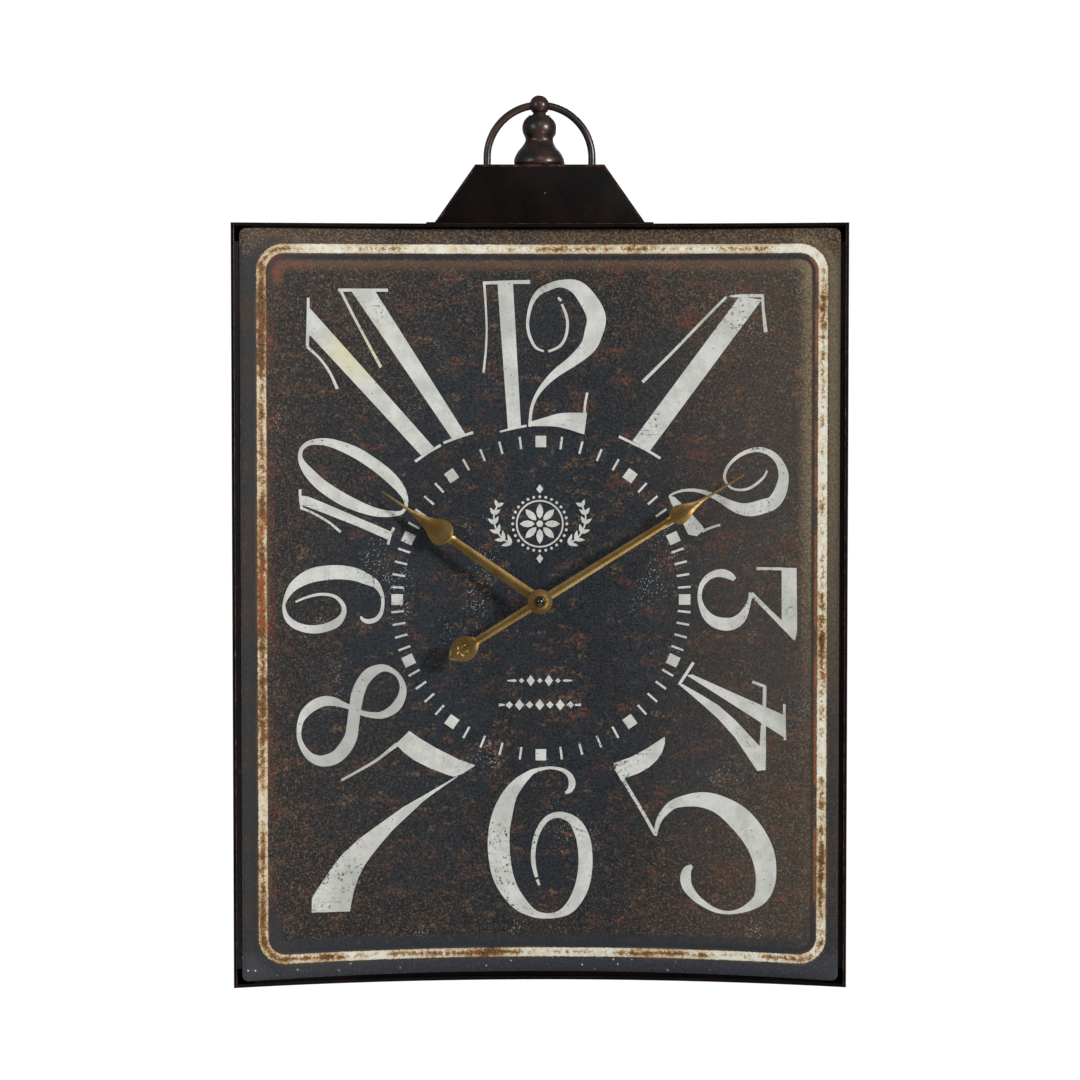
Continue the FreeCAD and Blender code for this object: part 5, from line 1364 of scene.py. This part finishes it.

# %% [markdown]
# ## Folded sheet with rolled edges
#
# The case, the shoulder and the movement's mouldings have the right shape already, but a real
# fold or moulding has a small radius, and that radius is what shows as a bright or rubbed line.
# A copy of each is merged, its long sharp edges are marked, and Bevel rounds only those. On the
# case and the shoulder the rounded strips take a second material: rubbed-through enamel that also
# carries a painted highlight.

# %% Soften the long edges of a node
FLAT_ENOUGH = math.radians(0.3)
LONG_EDGE = 6.0 * MM


def softened(node, slot, radius, edge_finish=None):
    """Puts a copy with rounded long edges in the node's place."""
    shape = bmesh.new()
    shape.from_mesh(frame["nodes"][node].data)
    bmesh.ops.remove_doubles(shape, verts=shape.verts[:], dist=MERGE)
    bmesh.ops.dissolve_limit(shape, angle_limit=FLAT_ENOUGH, verts=shape.verts[:],
                             edges=shape.edges[:])
    weight = shape.edges.layers.float.new("bevel_weight_edge")
    marked = 0
    for edge in shape.edges:
        if edge.calc_length() > LONG_EDGE and edge.calc_face_angle(0.0) > SMOOTH_UNDER:
            edge[weight] = 1.0
            marked += 1
    mesh = mesh_of(shape)
    mesh.materials.clear()
    mesh.materials.append(FINISHES[slot])
    mesh.materials.append(edge_finish or FINISHES[slot])
    result = baked(mesh, (("BEVEL", {
        "width": radius, "segments": 2, "limit_method": "WEIGHT", "material": 1,
        "use_clamp_overlap": True, "miter_outer": "MITER_ARC"}),))
    print(node, marked, "edges rounded")
    return placed(node + "_soft", result, "case", slot, (node,))


# case and shoulder edges get the rubbed finish with its painted highlight
for node in ("top_rail", "bottom_rail", "left_wall", "right_wall"):
    softened(node, "case_enamel", 0.45 * MM, RUBBED_EDGE_HIGHLIGHT)
for node in ("shoulder_strap", "shoulder_front", "shoulder_back"):
    softened(node, "case_enamel", 0.4 * MM, RUBBED_EDGE_HIGHLIGHT)
for node in ("movement_cover", "movement_plate"):
    softened(node, "movement_black", 0.3 * MM)

# %% [markdown]
# ## Floor, light and camera
#
# A pale floor below and a white surround give an even light. The floor fades out towards its rim,
# so that no edge of it shows from any side. A soft lamp high on the right throws the hands'
# shadows down to the left, a second lamp on the left puts the matching highlight on the turnings,
# and the surround is dimmer for light than it looks, so that the dark enamel stays dark.

# %% A pale floor
FLOOR_Z = -1.25
FLOOR_RADIUS = 1.6


def floor_paint(place):
    clouds = noise(place, 0.4, 2.0)
    across, along, _ = axes(place)
    rim = step(length_of(across, along), FLOOR_RADIUS * 0.45, FLOOR_RADIUS * 0.97)
    return {
        "Base Color": mix(clouds, ink(232, 231, 229), ink(238, 237, 235)),
        "Roughness": 0.7,
        "Alpha": 1 - rim,
    }


floor_shape = bmesh.new()
bmesh.ops.create_circle(floor_shape, cap_ends=True, segments=96, radius=FLOOR_RADIUS)
floor_mesh = mesh_of(floor_shape)
for vertex in floor_mesh.vertices:
    vertex.co.z = FLOOR_Z
floor_mesh.materials.append(finish("floor_paint", floor_paint))
floor = bpy.data.objects.new("floor", floor_mesh)
scene.collection.objects.link(floor)

# %% The white surround
SURROUND_LIGHT = 0.22
SURROUND_SEEN = 1.05
surround = bpy.data.worlds.new("surround")
surround.use_nodes = True
scene.world = surround
scene.view_settings.view_transform = "Standard"
background = surround.node_tree.nodes["Background"]
background.inputs["Color"].default_value = (1.0, 1.0, 1.0, 1.0)
seen = Wire(surround.node_tree).node("ShaderNodeLightPath", out="Is Camera Ray")
strength = blend(seen, SURROUND_LIGHT, SURROUND_SEEN)
surround.node_tree.links.new(strength.socket, background.inputs["Strength"])


# %% Soft lamps aimed at the dial
LAMPS = {    # place, size in metres and power in watts
    "key_lamp": ((1.56, -1.75, 0.44), 0.34, 44),
    "left_lamp": ((-1.5, -1.6, 0.5), 0.7, 9),
    "front_lamp": ((0.2, -2.6, 1.6), 1.2, 8),
    "low_lamp": ((0.95, -1.7, -1.1), 0.5, 5),
    "back_lamp": ((0.7, 2.6, 0.7), 1.6, 60),
}
for name, (place, size, power) in LAMPS.items():
    light = bpy.data.lights.new(name, "AREA")
    light.size = size
    light.energy = power
    lamp = bpy.data.objects.new(name, light)
    lamp.location = place
    aim = Vector((0, dial_front(0), SHAFT_Z)) - Vector(place)
    lamp.rotation_euler = aim.to_track_quat("-Z", "Y").to_euler()
    scene.collection.objects.link(lamp)

# %% The camera
CAMERA_PLACE = (-0.0197, -3.05, -0.06)
CAMERA_LOOKS_DOWN = math.radians(2.676)
CAMERA_LOOKS_RIGHT = math.radians(0.379)
camera_data = bpy.data.cameras.new("camera")
camera_data.lens = 109.09
camera_data.sensor_width = 36.0
camera_data.shift_y = -0.06
camera = bpy.data.objects.new("camera", camera_data)
camera.location = CAMERA_PLACE
camera.rotation_euler = (math.radians(90) - CAMERA_LOOKS_DOWN, 0.0, -CAMERA_LOOKS_RIGHT)
scene.collection.objects.link(camera)
scene.camera = camera
